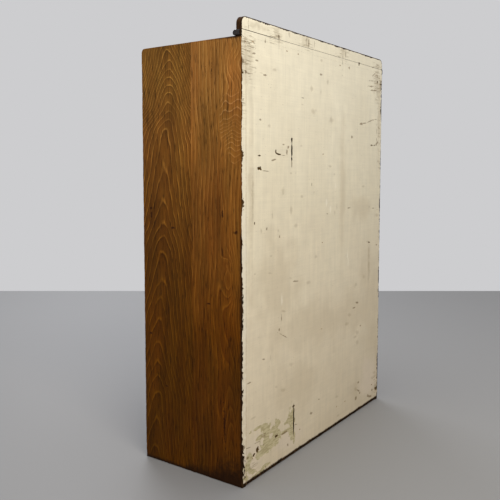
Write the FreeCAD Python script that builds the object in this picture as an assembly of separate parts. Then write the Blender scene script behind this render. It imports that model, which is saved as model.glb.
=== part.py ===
import FreeCAD, Part
import os
from math import cos, pi, sin, sqrt

V = FreeCAD.Vector

# Eyeglass lens cabinet: an oak case on the floor, two columns of dovetailed drawers with brass
# knobs and card frames, a boarded back, and a low upstand on a bead along the rear of its top.
# Millimetres, +Z up, drawers towards -Y. The origin is on the floor, at the middle of the
# whole cabinet's width and depth, knobs and bead included.

# ---- Case -------------------------------------------------------------------------------------
case_width = 710.0              # over the outside faces of the two sides
case_depth = 291.0              # front edges to the painted back face
case_height = 986.0             # floor to the top of the sides
side_thickness = 16.0
rear_board_width = 141.0        # rear one of the two boards glued edge to edge in sides and top
case_corner_radius = 9.0        # top front corner of the sides and front arris of the top
top_thickness = 16.0
bottom_thickness = 16.0
board_housing = 5.0             # how far top and bottom are let into the sides
partition_thickness = 16.0
partition_housing = 4.0         # how far the partition is let into top and bottom
plinth_height = 46.0            # floor to the underside of the bottom
plinth_thickness = 16.0
plinth_setback = 10.0
plinth_floor_gap = 3.0

# ---- Back -------------------------------------------------------------------------------------
back_thickness = 9.0
back_floor_gap = 2.0
back_lap = 6.0                  # overlap of one back board behind the next
back_right_top = 188.0          # width of the board beside the right side, at its top end
back_right_bottom = 206.0       # and at its bottom end: the joint leans
back_middle_top = 264.0
back_middle_bottom = 246.0
nail_head_width = 5.0
nail_head_height = 3.0
nail_head_depth = 1.2
nail_shank = 2.0
nail_length = 26.0
nail_edge_distance = 25.0       # nail to the edge of its back board
partition_nails = 3

# ---- Upstand along the rear of the top ----------------------------------------------------------
bead_height = 12.0
bead_depth = 22.0
bead_overhang = 5.0             # past each side
bead_end_rounding = 3.0
upstand_height = 29.0
upstand_thickness = 15.0
upstand_corner_radius = 16.0

# ---- Rails and runners ------------------------------------------------------------------------
drawer_rows = 8
rail_thickness = 12.0
rail_depth = 40.0
rail_housing = 4.0              # how far the rails are let into sides and partition
runner_width = 18.0

# ---- Drawers ----------------------------------------------------------------------------------
drawer_reveal = 1.2             # gap all round a drawer front, and beside its tray
running_clearance = 0.3         # tray sides above the runners
tray_rear_gap = 6.0             # tray to the back boards when shut
tray_top_gap = 18.7             # tray sides to the rail above
front_thickness = 16.0
front_chamfer = 1.5
front_lap = 5.0                 # wood left in front of the half-blind dovetails
tail_count = 3
tail_width = 14.0               # at the shoulder
tail_flare = 2.0                # gained on each flank at the tip
tail_above_panel = 2.0          # middle of the lowest tail above the tray bottom: it hides the groove
tray_side_thickness = 9.0
tray_back_thickness = 9.0
tray_back_housing = 3.0
tray_back_inset = 6.0           # rear ends of the tray sides stand this far past the tray's back
tray_back_drop = 6.0            # top of the tray's back below the tray sides
panel_thickness = 4.0           # tray bottom
panel_rise = 8.0                # underside of the tray bottom above the edges that run
panel_groove = 4.0
divider_thickness = 6.0
divider_housing = 3.0
divider_drop = 18.0             # top of the divider below the tray sides

# ---- Brass ------------------------------------------------------------------------------------
knob_sides = 8
knob_base_radius = 11.0         # to the corners of the octagon, as are the next four
knob_foot_radius = 6.5
knob_neck_radius = 4.8
knob_head_radius = 13.0
knob_face_radius = 7.5
knob_base_thickness = 1.8
knob_foot_bevel = 1.6           # base drawn in to the foot of the neck
knob_neck_length = 6.6
knob_head_flare = 5.0           # length over which the neck opens to the head
knob_rim = 3.0
knob_crown = 4.0                # bevelled front of the head
card_frame_width = 64.0
card_frame_height = 34.0
card_frame_thickness = 2.4
card_frame_bevel = 0.8
card_frame_border = 6.0
card_slot_depth = 1.2           # room for the card behind the frame
card_slot_cover = 3.0           # how far the border covers the card
card_frame_top_margin = 13.0    # under the top edge of the drawer front
knob_below_frame = 19.0         # lower edge of the card frame to the knob's centre

# ---- Worked out from the sizes above ------------------------------------------------------------
knob_foot_end = knob_base_thickness + knob_foot_bevel
knob_neck_end = knob_foot_end + knob_neck_length
knob_rim_start = knob_neck_end + knob_head_flare
knob_rim_end = knob_rim_start + knob_rim
knob_projection = knob_rim_end + knob_crown

back_y = (case_depth + knob_projection) / 2
front_y = back_y - case_depth
seam_y = back_y - rear_board_width
back_boards_y = back_y - back_thickness
side_outer_x = case_width / 2
side_inner_x = side_outer_x - side_thickness
partition_x = partition_thickness / 2
bottom_top_z = plinth_height + bottom_thickness
top_underside_z = case_height - top_thickness
bead_top_z = case_height + bead_height

bay_width = side_inner_x - partition_x
bay_height = (top_underside_z - bottom_top_z - (drawer_rows - 1) * rail_thickness) / drawer_rows
bay_pitch = bay_height + rail_thickness
bay_centre_x = partition_x + bay_width / 2

drawer_width = bay_width - 2 * drawer_reveal
drawer_length = case_depth - back_thickness - tray_rear_gap
tray_side_height = bay_height - running_clearance - tray_top_gap
tray_side_top_z = running_clearance + tray_side_height
tray_inner_x = drawer_width / 2 - tray_side_thickness
panel_z = running_clearance + panel_rise
panel_top_z = panel_z + panel_thickness
tray_back_y = drawer_length - tray_back_inset - tray_back_thickness
divider_top_z = tray_side_top_z - divider_drop
front_top_z = bay_height - drawer_reveal
card_frame_z = front_top_z - card_frame_top_margin - card_frame_height / 2
knob_z = card_frame_z - card_frame_height / 2 - knob_below_frame

COLUMNS = {"left": -1, "right": 1}


# ---- Small tools ------------------------------------------------------------------------------
def block(x_span, y_span, z_span):
    """A box between two values on each axis, given in either order."""
    spans = (x_span, y_span, z_span)
    low = V(*[min(span) for span in spans])
    size = [abs(span[1] - span[0]) for span in spans]
    return Part.makeBox(*size, low)


def carve(solid, tools):
    """The one solid that is left when the tools are cut from it."""
    return solid.cut(tools).removeSplitter().Solids[0]


def lines(points):
    """Straight edges from each point to the next."""
    return [Part.LineSegment(a, b).toShape() for a, b in zip(points, points[1:])]


def extrude(edges, direction):
    """A solid from the closed outline that the edges make."""
    return Part.Face(Part.Wire(edges)).extrude(direction)


def polygon(points, direction):
    """A solid from a closed polygon."""
    return extrude(lines(points + points[:1]), direction)


def save(node, solids):
    """Write one node's solids to its STEP file."""
    Part.makeCompound(solids).exportStep(os.path.join("parts", node + ".step"))


# ---- Case -------------------------------------------------------------------------------------
def front_board(x_span, z_low):
    """A board up to the top of the case, with its top front corner rounded."""
    radius = min(case_corner_radius, 0.9 * top_thickness)
    bend = radius * (1 - sqrt(0.5))
    x = min(x_span)
    foot = V(x, front_y, z_low)
    start = V(x, front_y, case_height - radius)
    middle = V(x, front_y + bend, case_height - bend)
    end = V(x, front_y + radius, case_height)
    seam_top = V(x, seam_y, case_height)
    seam_foot = V(x, seam_y, z_low)
    edges = lines([foot, start])
    edges.append(Part.Arc(start, middle, end).toShape())
    edges += lines([end, seam_top, seam_foot, foot])
    return extrude(edges, V(abs(x_span[1] - x_span[0]), 0, 0))


def rail_levels():
    """Underside of each rail, from the lowest up."""
    return [bottom_top_z + bay_height + bay_pitch * row for row in range(drawer_rows - 1)]


def rail_blocks(x_span):
    """Room for one rail at each level."""
    y_span = (front_y, front_y + rail_depth)
    return [block(x_span, y_span, (z, z + rail_thickness)) for z in rail_levels()]


def side_boards(sign):
    """The two boards of one side, let in for the top, the bottom and the rails."""
    x_span = (sign * side_inner_x, sign * side_outer_x)
    housing_x = (sign * side_inner_x, sign * (side_inner_x + board_housing))
    rail_x = (sign * side_inner_x, sign * (side_inner_x + rail_housing))
    depth = (front_y, back_boards_y)
    housings = rail_blocks(rail_x)
    housings.append(block(housing_x, depth, (top_underside_z, case_height)))
    housings.append(block(housing_x, depth, (plinth_height, bottom_top_z)))
    boards = [front_board(x_span, 0), block(x_span, (seam_y, back_y), (0, case_height))]
    return [carve(board, housings) for board in boards]


def top_boards():
    """Front and rear board of the top, lapped into the sides and flush with them."""
    reach = side_inner_x + board_housing
    front = front_board((-reach, reach), top_underside_z)
    rear = block((-reach, reach), (seam_y, back_boards_y), (top_underside_z, case_height))
    return [front, rear]


def bottom_board():
    reach = side_inner_x + board_housing
    return block((-reach, reach), (front_y, back_boards_y), (plinth_height, bottom_top_z))


def partition_board():
    z_span = (bottom_top_z - partition_housing, top_underside_z + partition_housing)
    board = block((-partition_x, partition_x), (front_y, back_boards_y), z_span)
    housings = []
    for sign in COLUMNS.values():
        housings += rail_blocks((sign * partition_x, sign * (partition_x - rail_housing)))
    return carve(board, housings)


def front_rails():
    rails = []
    for sign in COLUMNS.values():
        inner = sign * (partition_x - rail_housing)
        outer = sign * (side_inner_x + rail_housing)
        rails += rail_blocks((inner, outer))
    return rails


def drawer_runners():
    """Strips behind the rails that carry the trays, one along each wall of a bay."""
    runners = []
    y_span = (front_y + rail_depth, back_boards_y)
    for sign in COLUMNS.values():
        for wall, inward in ((partition_x, 1), (side_inner_x, -1)):
            x_span = (sign * wall, sign * (wall + inward * runner_width))
            for z in rail_levels():
                runners.append(block(x_span, y_span, (z, z + rail_thickness)))
    return runners


def plinth_board():
    y = front_y + plinth_setback
    x_span = (-side_inner_x, side_inner_x)
    return block(x_span, (y, y + plinth_thickness), (plinth_floor_gap, plinth_height))


# ---- Back -------------------------------------------------------------------------------------
def back_joints():
    """x of each edge of the back boards at the top and at the bottom, from the right side."""
    first_top = side_inner_x - back_right_top
    first_bottom = side_inner_x - back_right_bottom
    second_top = first_top - back_middle_top
    second_bottom = first_bottom - back_middle_bottom
    return [
        (side_inner_x, side_inner_x),
        (first_top, first_bottom),
        (second_top, second_bottom),
        (-side_inner_x, -side_inner_x),
    ]


def back_layer(right, left, y, depth):
    """One half of a back board's thickness, between two edges given as (top x, bottom x)."""
    points = [
        V(right[1], y, back_floor_gap),
        V(right[0], y, case_height),
        V(left[0], y, case_height),
        V(left[1], y, back_floor_gap),
    ]
    return polygon(points, V(0, depth, 0))


def back_boards():
    """Boards between the sides, each lapping behind its neighbour to the left."""
    joints = back_joints()
    inner = [joints[0]]
    inner += [(top - back_lap, bottom - back_lap) for top, bottom in joints[1:-1]]
    inner.append(joints[-1])
    half = back_thickness / 2
    boards = []
    for index in range(len(joints) - 1):
        shown = back_layer(joints[index], joints[index + 1], back_y - half, half)
        hidden = back_layer(inner[index], inner[index + 1], back_boards_y, half)
        boards.append(shown.fuse(hidden).removeSplitter().Solids[0])
    return boards


def cut_nail(x, z):
    """A cut nail driven from behind: flat oblong head flush with the back, square shank."""
    half_head = (nail_head_width / 2, nail_head_height / 2)
    head_y = (back_y - nail_head_depth, back_y)
    head = block((x - half_head[0], x + half_head[0]), head_y, (z - half_head[1], z + half_head[1]))
    half = nail_shank / 2
    shank_y = (back_y - nail_length, back_y - nail_head_depth)
    shank = block((x - half, x + half), shank_y, (z - half, z + half))
    return head.fuse(shank).removeSplitter().Solids[0]


def back_nails():
    """Two nails at each end of each back board, and a column of them into the partition."""
    joints = back_joints()
    nails = []
    ends = ((0, case_height - top_thickness / 2), (1, plinth_height + bottom_thickness / 2))
    for index in range(len(joints) - 1):
        for end, z in ends:
            nails.append(cut_nail(joints[index][end] - nail_edge_distance, z))
            nails.append(cut_nail(joints[index + 1][end] + nail_edge_distance, z))
    spacing = (top_underside_z - bottom_top_z) / (partition_nails + 1)
    for step in range(1, partition_nails + 1):
        nails.append(cut_nail(0, bottom_top_z + spacing * step))
    return nails


# ---- Upstand ----------------------------------------------------------------------------------
def bead_strip():
    """Round-nosed strip on the rear of the top, standing past both sides."""
    nose = bead_height / 2
    x = -side_outer_x - bead_overhang
    nose_y = back_y - bead_depth + nose
    low = V(x, nose_y, case_height)
    tip = V(x, nose_y - nose, case_height + nose)
    high = V(x, nose_y, bead_top_z)
    edges = [Part.Arc(low, tip, high).toShape()]
    edges += lines([high, V(x, back_y, bead_top_z), V(x, back_y, case_height), low])
    strip = extrude(edges, V(case_width + 2 * bead_overhang, 0, 0))
    rounding = min(bead_end_rounding, 0.9 * bead_overhang)
    end_edges = [
        edge
        for edge in strip.Edges
        if abs(abs(edge.CenterOfMass.x) - side_outer_x - bead_overhang) < 0.01
        and edge.CenterOfMass.y < back_y - 0.01
        and edge.CenterOfMass.z > case_height + 0.01
    ]
    return strip.makeChamfer(rounding / 2, end_edges).Solids[0]


def upstand_board():
    """Board along the rear of the top with rounded upper corners."""
    radius = min(upstand_corner_radius, 0.9 * upstand_height)
    bend = radius * (1 - sqrt(0.5))
    top_z = bead_top_z + upstand_height
    y = back_y - upstand_thickness
    half = side_outer_x

    def corner(sign):
        low = V(sign * half, y, top_z - radius)
        middle = V(sign * (half - bend), y, top_z - bend)
        high = V(sign * (half - radius), y, top_z)
        return low, Part.Arc(low, middle, high).toShape(), high

    right_low, right_arc, right_high = corner(1)
    left_low, left_arc, left_high = corner(-1)
    edges = lines([V(-half, y, bead_top_z), V(half, y, bead_top_z), right_low])
    edges.append(right_arc)
    edges += lines([right_high, left_high])
    edges.append(left_arc)
    edges += lines([left_low, V(-half, y, bead_top_z)])
    return extrude(edges, V(0, upstand_thickness, 0))


# ---- One drawer, with its front face at y = 0, its middle at x = 0 and its bay's floor at z = 0 ----
def tails(sign):
    """Half-blind dovetails on the front end of one tray side."""
    x = min(sign * tray_inner_x, sign * drawer_width / 2)
    edge = panel_rise + panel_thickness + tail_above_panel
    pitch = (tray_side_height - 2 * edge) / (tail_count - 1)
    shoulder = min(tail_width, 0.7 * pitch) / 2
    tip = shoulder + min(tail_flare, 0.1 * pitch)
    solids = []
    for index in range(tail_count):
        z = running_clearance + edge + pitch * index
        points = [
            V(x, front_thickness, z - shoulder),
            V(x, front_lap, z - tip),
            V(x, front_lap, z + tip),
            V(x, front_thickness, z + shoulder),
        ]
        solids.append(polygon(points, V(tray_side_thickness, 0, 0)))
    return solids


def tray_panel():
    """Bottom of the tray, slid into grooves from the rear."""
    reach = tray_inner_x + panel_groove
    y_span = (front_thickness - panel_groove, drawer_length)
    return block((-reach, reach), y_span, (panel_z, panel_top_z))


def tray_divider():
    """Lengthways divider that makes two channels for lens packets."""
    half = divider_thickness / 2
    y_span = (front_thickness - divider_housing, tray_back_y + divider_housing)
    return block((-half, half), y_span, (panel_top_z, divider_top_z))


def tray_back(divider):
    reach = tray_inner_x + tray_back_housing
    y_span = (tray_back_y, tray_back_y + tray_back_thickness)
    board = block((-reach, reach), y_span, (panel_top_z, tray_side_top_z - tray_back_drop))
    return carve(board, [divider])


def tray_side(sign, panel, back):
    x_span = (sign * tray_inner_x, sign * drawer_width / 2)
    z_span = (running_clearance, tray_side_top_z)
    board = block(x_span, (front_thickness, drawer_length), z_span)
    joined = board.fuse(tails(sign)).removeSplitter().Solids[0]
    return carve(joined, [panel, back])


def drawer_front(panel, divider):
    """Drawer front with a chamfered face, socketed for the dovetails and grooved for the tray."""
    half = drawer_width / 2
    board = block((-half, half), (0, front_thickness), (drawer_reveal, front_top_z))
    face_edges = [edge for edge in board.Edges if edge.BoundBox.YMax < 0.01]
    board = board.makeChamfer(front_chamfer, face_edges)
    return carve(board, tails(-1) + tails(1) + [panel, divider])


def knob():
    """Brass knob with flat facets all the way from its base to the bevelled face."""
    stations = [
        (knob_base_radius, 0),
        (knob_base_radius, knob_base_thickness),
        (knob_foot_radius, knob_foot_end),
        (knob_neck_radius, knob_neck_end),
        (knob_head_radius, knob_rim_start),
        (knob_head_radius, knob_rim_end),
        (knob_face_radius, knob_projection),
    ]
    turn = 2 * pi / knob_sides
    angles = [turn * (corner + 0.5) for corner in range(knob_sides + 1)]
    rings = []
    for radius, out in stations:
        rings.append([V(radius * sin(a), -out, knob_z + radius * cos(a)) for a in angles])
    facets = [Part.Face(Part.makePolygon(ring)) for ring in (rings[0], rings[-1])]
    for inner, outer in zip(rings, rings[1:]):
        for side in range(knob_sides):
            near = inner[side : side + 2]
            far = outer[side : side + 2]
            facets.append(Part.Face(Part.makePolygon([near[0], near[1], far[1], far[0], near[0]])))
    skin = Part.makeShell(facets)
    skin.sewShape()
    return Part.makeSolid(skin)


def card_frame():
    """Stamped brass frame that holds a card against the drawer front, open at the top."""
    half_width = card_frame_width / 2
    low_z = card_frame_z - card_frame_height / 2
    high_z = low_z + card_frame_height
    plate = block((-half_width, half_width), (-card_frame_thickness, 0), (low_z, high_z))
    face_edges = [edge for edge in plate.Edges if edge.BoundBox.YMax < 0.01 - card_frame_thickness]
    plate = plate.makeChamfer(card_frame_bevel, face_edges)
    window_x = half_width - card_frame_border
    window_z = (low_z + card_frame_border, high_z - card_frame_border)
    window = block((-window_x, window_x), (-card_frame_thickness, 0), window_z)
    slot_x = window_x + card_slot_cover
    slot_z = (window_z[0] - card_slot_cover, high_z)
    slot = block((-slot_x, slot_x), (-card_slot_depth, 0), slot_z)
    return carve(plate, [window, slot])


def drawer_nodes():
    """The solids of one drawer by the last word of their node's name."""
    panel = tray_panel()
    divider = tray_divider()
    back = tray_back(divider)
    sides = [tray_side(sign, panel, back) for sign in COLUMNS.values()]
    return {
        "front": [drawer_front(panel, divider)],
        "tray": sides + [back, panel, divider],
        "pull": [knob(), card_frame()],
    }


# ---- The whole cabinet --------------------------------------------------------------------------
def case_nodes():
    """The solids of each node of the case, with every nail hole and housing cut."""
    partition = partition_board()
    nails = back_nails()
    nodes = {
        "side_left": side_boards(-1),
        "side_right": side_boards(1),
        "top_board": [carve(board, [partition] + nails) for board in top_boards()],
        "bottom_board": [carve(bottom_board(), [partition] + nails)],
        "centre_partition": [carve(partition, nails)],
        "back_boards": [carve(board, nails) for board in back_boards()],
        "back_nails": nails,
        "front_rails": front_rails(),
        "drawer_runners": drawer_runners(),
        "plinth": [plinth_board()],
        "upstand_bead": [bead_strip()],
        "upstand": [upstand_board()],
    }
    return nodes


def bay_places():
    """Each drawer's name and the point of its bay that its own frame starts from, top row first."""
    places = {}
    for column, sign in COLUMNS.items():
        for row in range(drawer_rows):
            z = bottom_top_z + bay_pitch * (drawer_rows - 1 - row)
            places["drawer_%s_%d" % (column, row + 1)] = V(sign * bay_centre_x, front_y, z)
    return places


def main():
    os.makedirs("parts", exist_ok=True)
    for node, solids in case_nodes().items():
        save(node, solids)
    drawer = drawer_nodes()
    for name, place in bay_places().items():
        for word, solids in drawer.items():
            save(name + "_" + word, [solid.translated(place) for solid in solids])


main()
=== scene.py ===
"""Looks of the eyeglass lens cabinet: stained oak boards, an old cream-painted back, brass fittings.

Sizes are millimetres until a mesh or a light is made. X is the width, +Y the painted back, Z up.
"""

from math import ceil, cos, hypot, pi, radians, sin

import bpy
import numpy as np
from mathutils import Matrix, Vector
from mathutils.geometry import delaunay_2d_cdt


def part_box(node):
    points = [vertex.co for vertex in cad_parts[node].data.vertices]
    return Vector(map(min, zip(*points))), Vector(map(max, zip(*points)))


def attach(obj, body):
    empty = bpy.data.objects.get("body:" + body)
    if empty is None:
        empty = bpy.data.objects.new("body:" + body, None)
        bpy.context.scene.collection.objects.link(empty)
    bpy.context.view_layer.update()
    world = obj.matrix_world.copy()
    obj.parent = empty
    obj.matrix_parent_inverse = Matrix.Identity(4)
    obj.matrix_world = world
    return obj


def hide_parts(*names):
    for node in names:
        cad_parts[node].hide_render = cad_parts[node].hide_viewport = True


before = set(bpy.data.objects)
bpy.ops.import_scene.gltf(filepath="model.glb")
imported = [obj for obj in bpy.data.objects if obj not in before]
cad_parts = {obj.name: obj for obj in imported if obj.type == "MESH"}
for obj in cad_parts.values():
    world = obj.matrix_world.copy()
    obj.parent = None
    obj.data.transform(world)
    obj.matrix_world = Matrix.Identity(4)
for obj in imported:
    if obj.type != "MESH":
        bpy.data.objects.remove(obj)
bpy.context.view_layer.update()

MM = 0.001                      # metres in a millimetre
FLAT = 1e4                      # a depth so large that a pattern ignores it

# Kinds of node that nearly every finish uses.
MATH = "ShaderNodeMath"
VECTOR = "ShaderNodeVectorMath"
RANGE = "ShaderNodeMapRange"
MIX = "ShaderNodeMix"
SMOOTH = {"interpolation_type": "SMOOTHSTEP"}
COLOUR = {"data_type": "RGBA"}


def span(node):
    """Lowest and highest corner of a CAD node in millimetres."""
    low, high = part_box(node)
    return [round(v / MM, 3) for v in low], [round(v / MM, 3) for v in high]


# ---- Sizes --------------------------------------------------------------------------------------
SIDE_LOW, SIDE_HIGH = span("side_right")
BACK_LOW, BACK_HIGH = span("back_boards")
BEAD_LOW, BEAD_HIGH = span("upstand_bead")
UPSTAND_LOW, UPSTAND_HIGH = span("upstand")

OUTER_X = SIDE_HIGH[0]
INNER_X = SIDE_LOW[0]
FRONT_Y = SIDE_LOW[1]
BACK_Y = SIDE_HIGH[1]
CASE_TOP = SIDE_HIGH[2]
TOP_Z = UPSTAND_HIGH[2]
REAR_BOARD = 141.0              # width of the rear one of the two boards of each side
SEAM_Y = BACK_Y - REAR_BOARD
CORNER_RADIUS = 9.0             # top front corner of the sides
UPSTAND_RADIUS = 16.0
BAY_PITCH = 115.0
BAY_FLOOR = 62.0                # floor of the lowest bay
TOUCH = 0.01                    # places closer together than this are the same one

COLUMNS = ("left", "right")
ROWS = range(1, 9)
DRAWERS = ["drawer_%s_%d" % (column, row) for column in COLUMNS for row in ROWS]


# ---- Small tools --------------------------------------------------------------------------------
def linear(colour):
    """Linear RGBA of an sRGB hex colour."""
    channels = [int(colour[i:i + 2], 16) / 255 for i in (1, 3, 5)]
    return [c / 12.92 if c <= 0.04045 else ((c + 0.055) / 1.055) ** 2.4 for c in channels] + [1.0]


def add(tree, kind, links, out=0, stops=None, **settings):
    """Add one node; links gives an input its socket or its value. Returns the output named by out."""
    node = tree.nodes.new(kind)
    for name, value in settings.items():
        setattr(node, name, value)
    for key, value in links.items():
        if isinstance(value, bpy.types.NodeSocket):
            tree.links.new(value, node.inputs[key])
        else:
            node.inputs[key].default_value = value
    if stops:
        elements = node.color_ramp.elements
        elements[0].position, elements[0].color = stops[0][0], linear(stops[0][1])
        elements[1].position, elements[1].color = stops[-1][0], linear(stops[-1][1])
        for place, colour in stops[1:-1]:
            elements.new(place).color = linear(colour)
    return node if out is None else node.outputs[out]


def new_material(name):
    """An empty material's tree and its object coordinates in millimetres."""
    material = bpy.data.materials.new(name)
    material.use_nodes = True
    tree = material.node_tree
    tree.nodes.clear()
    place = add(tree, "ShaderNodeTexCoord", {}, out="Object")
    return material, tree, add(tree, VECTOR, {0: place, "Scale": 1 / MM}, operation="SCALE")


def mottle(tree, place, size, detail=2.0, shift=(0, 0, 0)):
    """Noise from 0 to 1 whose blobs have the given size on each axis, in millimetres."""
    links = {"Vector": place, "Location": shift, "Scale": size}
    local = add(tree, "ShaderNodeMapping", links, vector_type="TEXTURE")
    return add(tree, "ShaderNodeTexNoise", {"Vector": local, "Scale": 1.0, "Detail": detail})


def spread_mask(tree, field, size, jag, start=0.85, end=1.15, strength=1.0):
    """How much of a mark shows: its field of the mesh is 1 on the mark's outline and 2 in its middle.

    The outline is made ragged by jag with noise whose blobs have the given size.
    """
    near = add(tree, "ShaderNodeAttribute", {}, out="Fac", attribute_name=field)
    place = add(tree, "ShaderNodeTexCoord", {}, out="Object")
    links = {"Vector": place, "Scale": 1 / (size * MM), "Detail": 4.0}
    noise = add(tree, "ShaderNodeTexNoise", links)
    noise = add(tree, RANGE, {0: noise, 1: 0.25, 2: 0.75, 3: -jag, 4: jag})
    near = add(tree, MATH, {0: near, 1: noise}, operation="ADD")
    return add(tree, RANGE, {0: near, 1: start, 2: end, 3: 0.0, 4: strength}, **SMOOTH)


def finish_surface(tree, colour, roughness, height, depth, **sockets):
    """Bump, shader and output. depth is the height of the relief in millimetres."""
    normal = add(tree, "ShaderNodeBump", {"Height": height, "Distance": depth * MM})
    links = {"Base Color": colour, "Roughness": roughness, "Normal": normal}
    links.update({key.replace("_", " "): value for key, value in sockets.items()})
    shader = add(tree, "ShaderNodeBsdfPrincipled", links)
    add(tree, "ShaderNodeOutputMaterial", {"Surface": shader}, out=None)


# ---- Wood ---------------------------------------------------------------------------------------
def axis_sizes(along, across_grain, along_grain):
    """Blob size on each axis for a pattern drawn out along the grain."""
    return [along_grain if axis == along else across_grain for axis in "XYZ"]


def bay_offset(tree, place, spread):
    """A shift of up to half of spread that differs from one drawer bay to the next."""
    bay = add(tree, VECTOR, {0: place, 1: (OUTER_X, FLAT, BAY_PITCH)}, operation="DIVIDE")
    middle = (0.0, 0.5, 1 - BAY_FLOOR / BAY_PITCH)
    bay = add(tree, VECTOR, {0: bay, 1: middle}, operation="ADD")
    bay = add(tree, VECTOR, {0: bay}, operation="FLOOR")
    chance = add(tree, "ShaderNodeTexWhiteNoise", {"Vector": bay}, out="Color")
    centred = add(tree, VECTOR, {0: chance, 1: (0.5, 0.5, 0.5)}, operation="SUBTRACT")
    return add(tree, VECTOR, {0: centred, 1: spread}, operation="MULTIPLY")


def plain_sawn_growth(tree, place, along, across, heart, depth, taper, spacing):
    """Growth rings of a board sawn beside the heart: arches along its middle, lines at its edges.

    along and across are the axes of the board's length and width. heart is where the heart of
    the log lies across the board and depth how far below its face. Rings are spacing apart and
    widen by taper for each millimetre of length.
    """
    parts = add(tree, "ShaderNodeSeparateXYZ", {0: place}, out=None)
    length = parts.outputs["XYZ".index(along)]
    width = parts.outputs["XYZ".index(across)]
    sway = mottle(tree, place, axis_sizes(along, 26.0, 170.0))
    off = add(tree, MATH, {0: width, 1: heart}, operation="SUBTRACT")
    off = add(tree, MATH, {0: sway, 1: 26.0, 2: off}, operation="MULTIPLY_ADD")
    square = add(tree, MATH, {0: off, 1: off, 2: depth * depth}, operation="MULTIPLY_ADD")
    radius = add(tree, MATH, {0: square, 1: 0.5}, operation="POWER")
    grown = add(tree, MATH, {0: length, 1: taper, 2: radius}, operation="MULTIPLY_ADD")
    return add(tree, MATH, {0: grown, 1: spacing}, operation="DIVIDE")


def ring_wood(tree, place, along, growth, stops, pore_strength=0.6, flame=0.26, dulled=0.0):
    """Colour and relief of sawn wood from its growth rings, pores and fibre.

    stops colours one ring from its first wood to its last, the middle one being the wood where
    the rings fade, as they do all over where dulled is above 0. Real pores are 0.3 mm wide, too
    fine to show, so they are drawn in bundles.
    """
    sway = mottle(tree, place, axis_sizes(along, 9.0, 60.0), 3.0, (311, 97, 53))
    phase = add(tree, MATH, {0: sway, 1: 0.3, 2: growth}, operation="MULTIPLY_ADD")
    phase = add(tree, MATH, {0: phase}, operation="FRACT")
    ring = add(tree, "ShaderNodeValToRGB", {0: phase}, stops=stops)
    faint = mottle(tree, place, axis_sizes(along, 22.0, 60.0), 2.0, (43, 61, 7))
    faint = add(tree, RANGE, {0: faint, 1: 0.4, 2: 0.68, 3: dulled, 4: 0.7}, **SMOOTH)
    ring = add(tree, MIX, {0: faint, 6: ring, 7: linear(stops[2][1])}, out=2, **COLOUR)
    fibre = mottle(tree, place, axis_sizes(along, 2.0, 60.0), 3.0)
    cloud = mottle(tree, place, axis_sizes(along, 48.0, 210.0), 3.0, (71, 13, 29))
    pores = mottle(tree, place, axis_sizes(along, 2.2, 26.0), 1.5, (17, 5, 91))
    pores = add(tree, RANGE, {0: pores, 1: 0.56, 2: 0.72}, **SMOOTH)
    shade = add(tree, RANGE, {0: fibre, 1: 0.3, 2: 0.7, 3: 1 - flame, 4: 1 + flame})
    cloudy = add(tree, RANGE, {0: cloud, 1: 0.3, 2: 0.7, 3: 1 - flame, 4: 1 + flame})
    shade = add(tree, MATH, {0: shade, 1: cloudy}, operation="MULTIPLY")
    dark = add(tree, RANGE, {0: pores, 3: 1.0, 4: 1 - pore_strength})
    shade = add(tree, MATH, {0: shade, 1: dark}, operation="MULTIPLY")
    colour = add(tree, VECTOR, {0: ring, "Scale": shade}, operation="SCALE")
    height = add(tree, MATH, {0: pores, 1: -0.6, 2: fibre}, operation="MULTIPLY_ADD")
    return colour, height


# One ring of each stained wood: a thin pale line, the dark early wood under it, then the body.
CASE_RINGS = [(0.0, "#b0823d"), (0.1, "#5f4018"), (0.34, "#76501f"), (0.86, "#7f5823"), (1.0, "#b0823d")]
REAR_RINGS = [(0.0, "#bb874a"), (0.18, "#a07037"), (0.6, "#986730"), (0.86, "#885826"), (1.0, "#bb874a")]
CURL_RINGS = [(0.0, "#d29d64"), (0.15, "#8e5f2e"), (0.5, "#986730"), (0.92, "#a06f36"), (1.0, "#d29d64")]
EDGE_RINGS = [(0.0, "#513818"), (0.13, "#25170b"), (0.34, "#33200f"), (0.86, "#3f2812"), (1.0, "#513818")]
FRONT_RINGS = [(0.0, "#a1743a"), (0.14, "#573812"), (0.4, "#764e20"), (0.85, "#815a27"), (1.0, "#a1743a")]
TRAY_RINGS = [(0.0, "#dcc59a"), (0.3, "#d5bc90"), (0.8, "#c7a978"), (0.93, "#b8966a"), (1.0, "#dcc59a")]
CARCASS_RINGS = [(0.0, "#b08e5e"), (0.3, "#a58353"), (0.8, "#96734a"), (0.93, "#80603b"), (1.0, "#b08e5e")]

# Painted shade: the stain is darker towards the floor; its tint at shares of the height.
FRONT_TINT_AND_SHADE = [(0.05, "#b09a36"), (0.25, "#b7a03f"), (0.38, "#c0a750"), (0.52, "#cdb67a"),
              (0.66, "#e5d5b3"), (0.8, "#fdf2ee"), (0.92, "#ffffff")]
REAR_TINT_AND_SHADE = [(0.05, "#8a7838"), (0.25, "#95813d"), (0.38, "#ae953b"), (0.52, "#c0af7f"),
             (0.66, "#cdbe9d"), (0.8, "#f1eedd"), (0.92, "#ffffff")]

# Marks on a face: (across, z, half length, half width, tilt in degrees). On the near side across
# is the distance from the middle of the depth.
SIDE_KNOTS = [
    (-108.5, 613, 5, 3.5, 0), (-108.5, 598, 2, 10, 0), (-40.8, 569.5, 6, 2.6, 0),
    (64, 404, 5.5, 2.4, 0), (104, 607, 2.6, 11, 0), (140, 568, 6, 4, 0), (-64.7, 190, 3.5, 2, 0),
    (-114.2, 311.7, 4, 3, 0), (74.7, 920, 1.3, 28, -4.7), (57.9, 916, 0.9, 16, 0),
]
SIDE_SHAKES = [(107.5, 130, 2.4, 62, 2.8)]


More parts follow.
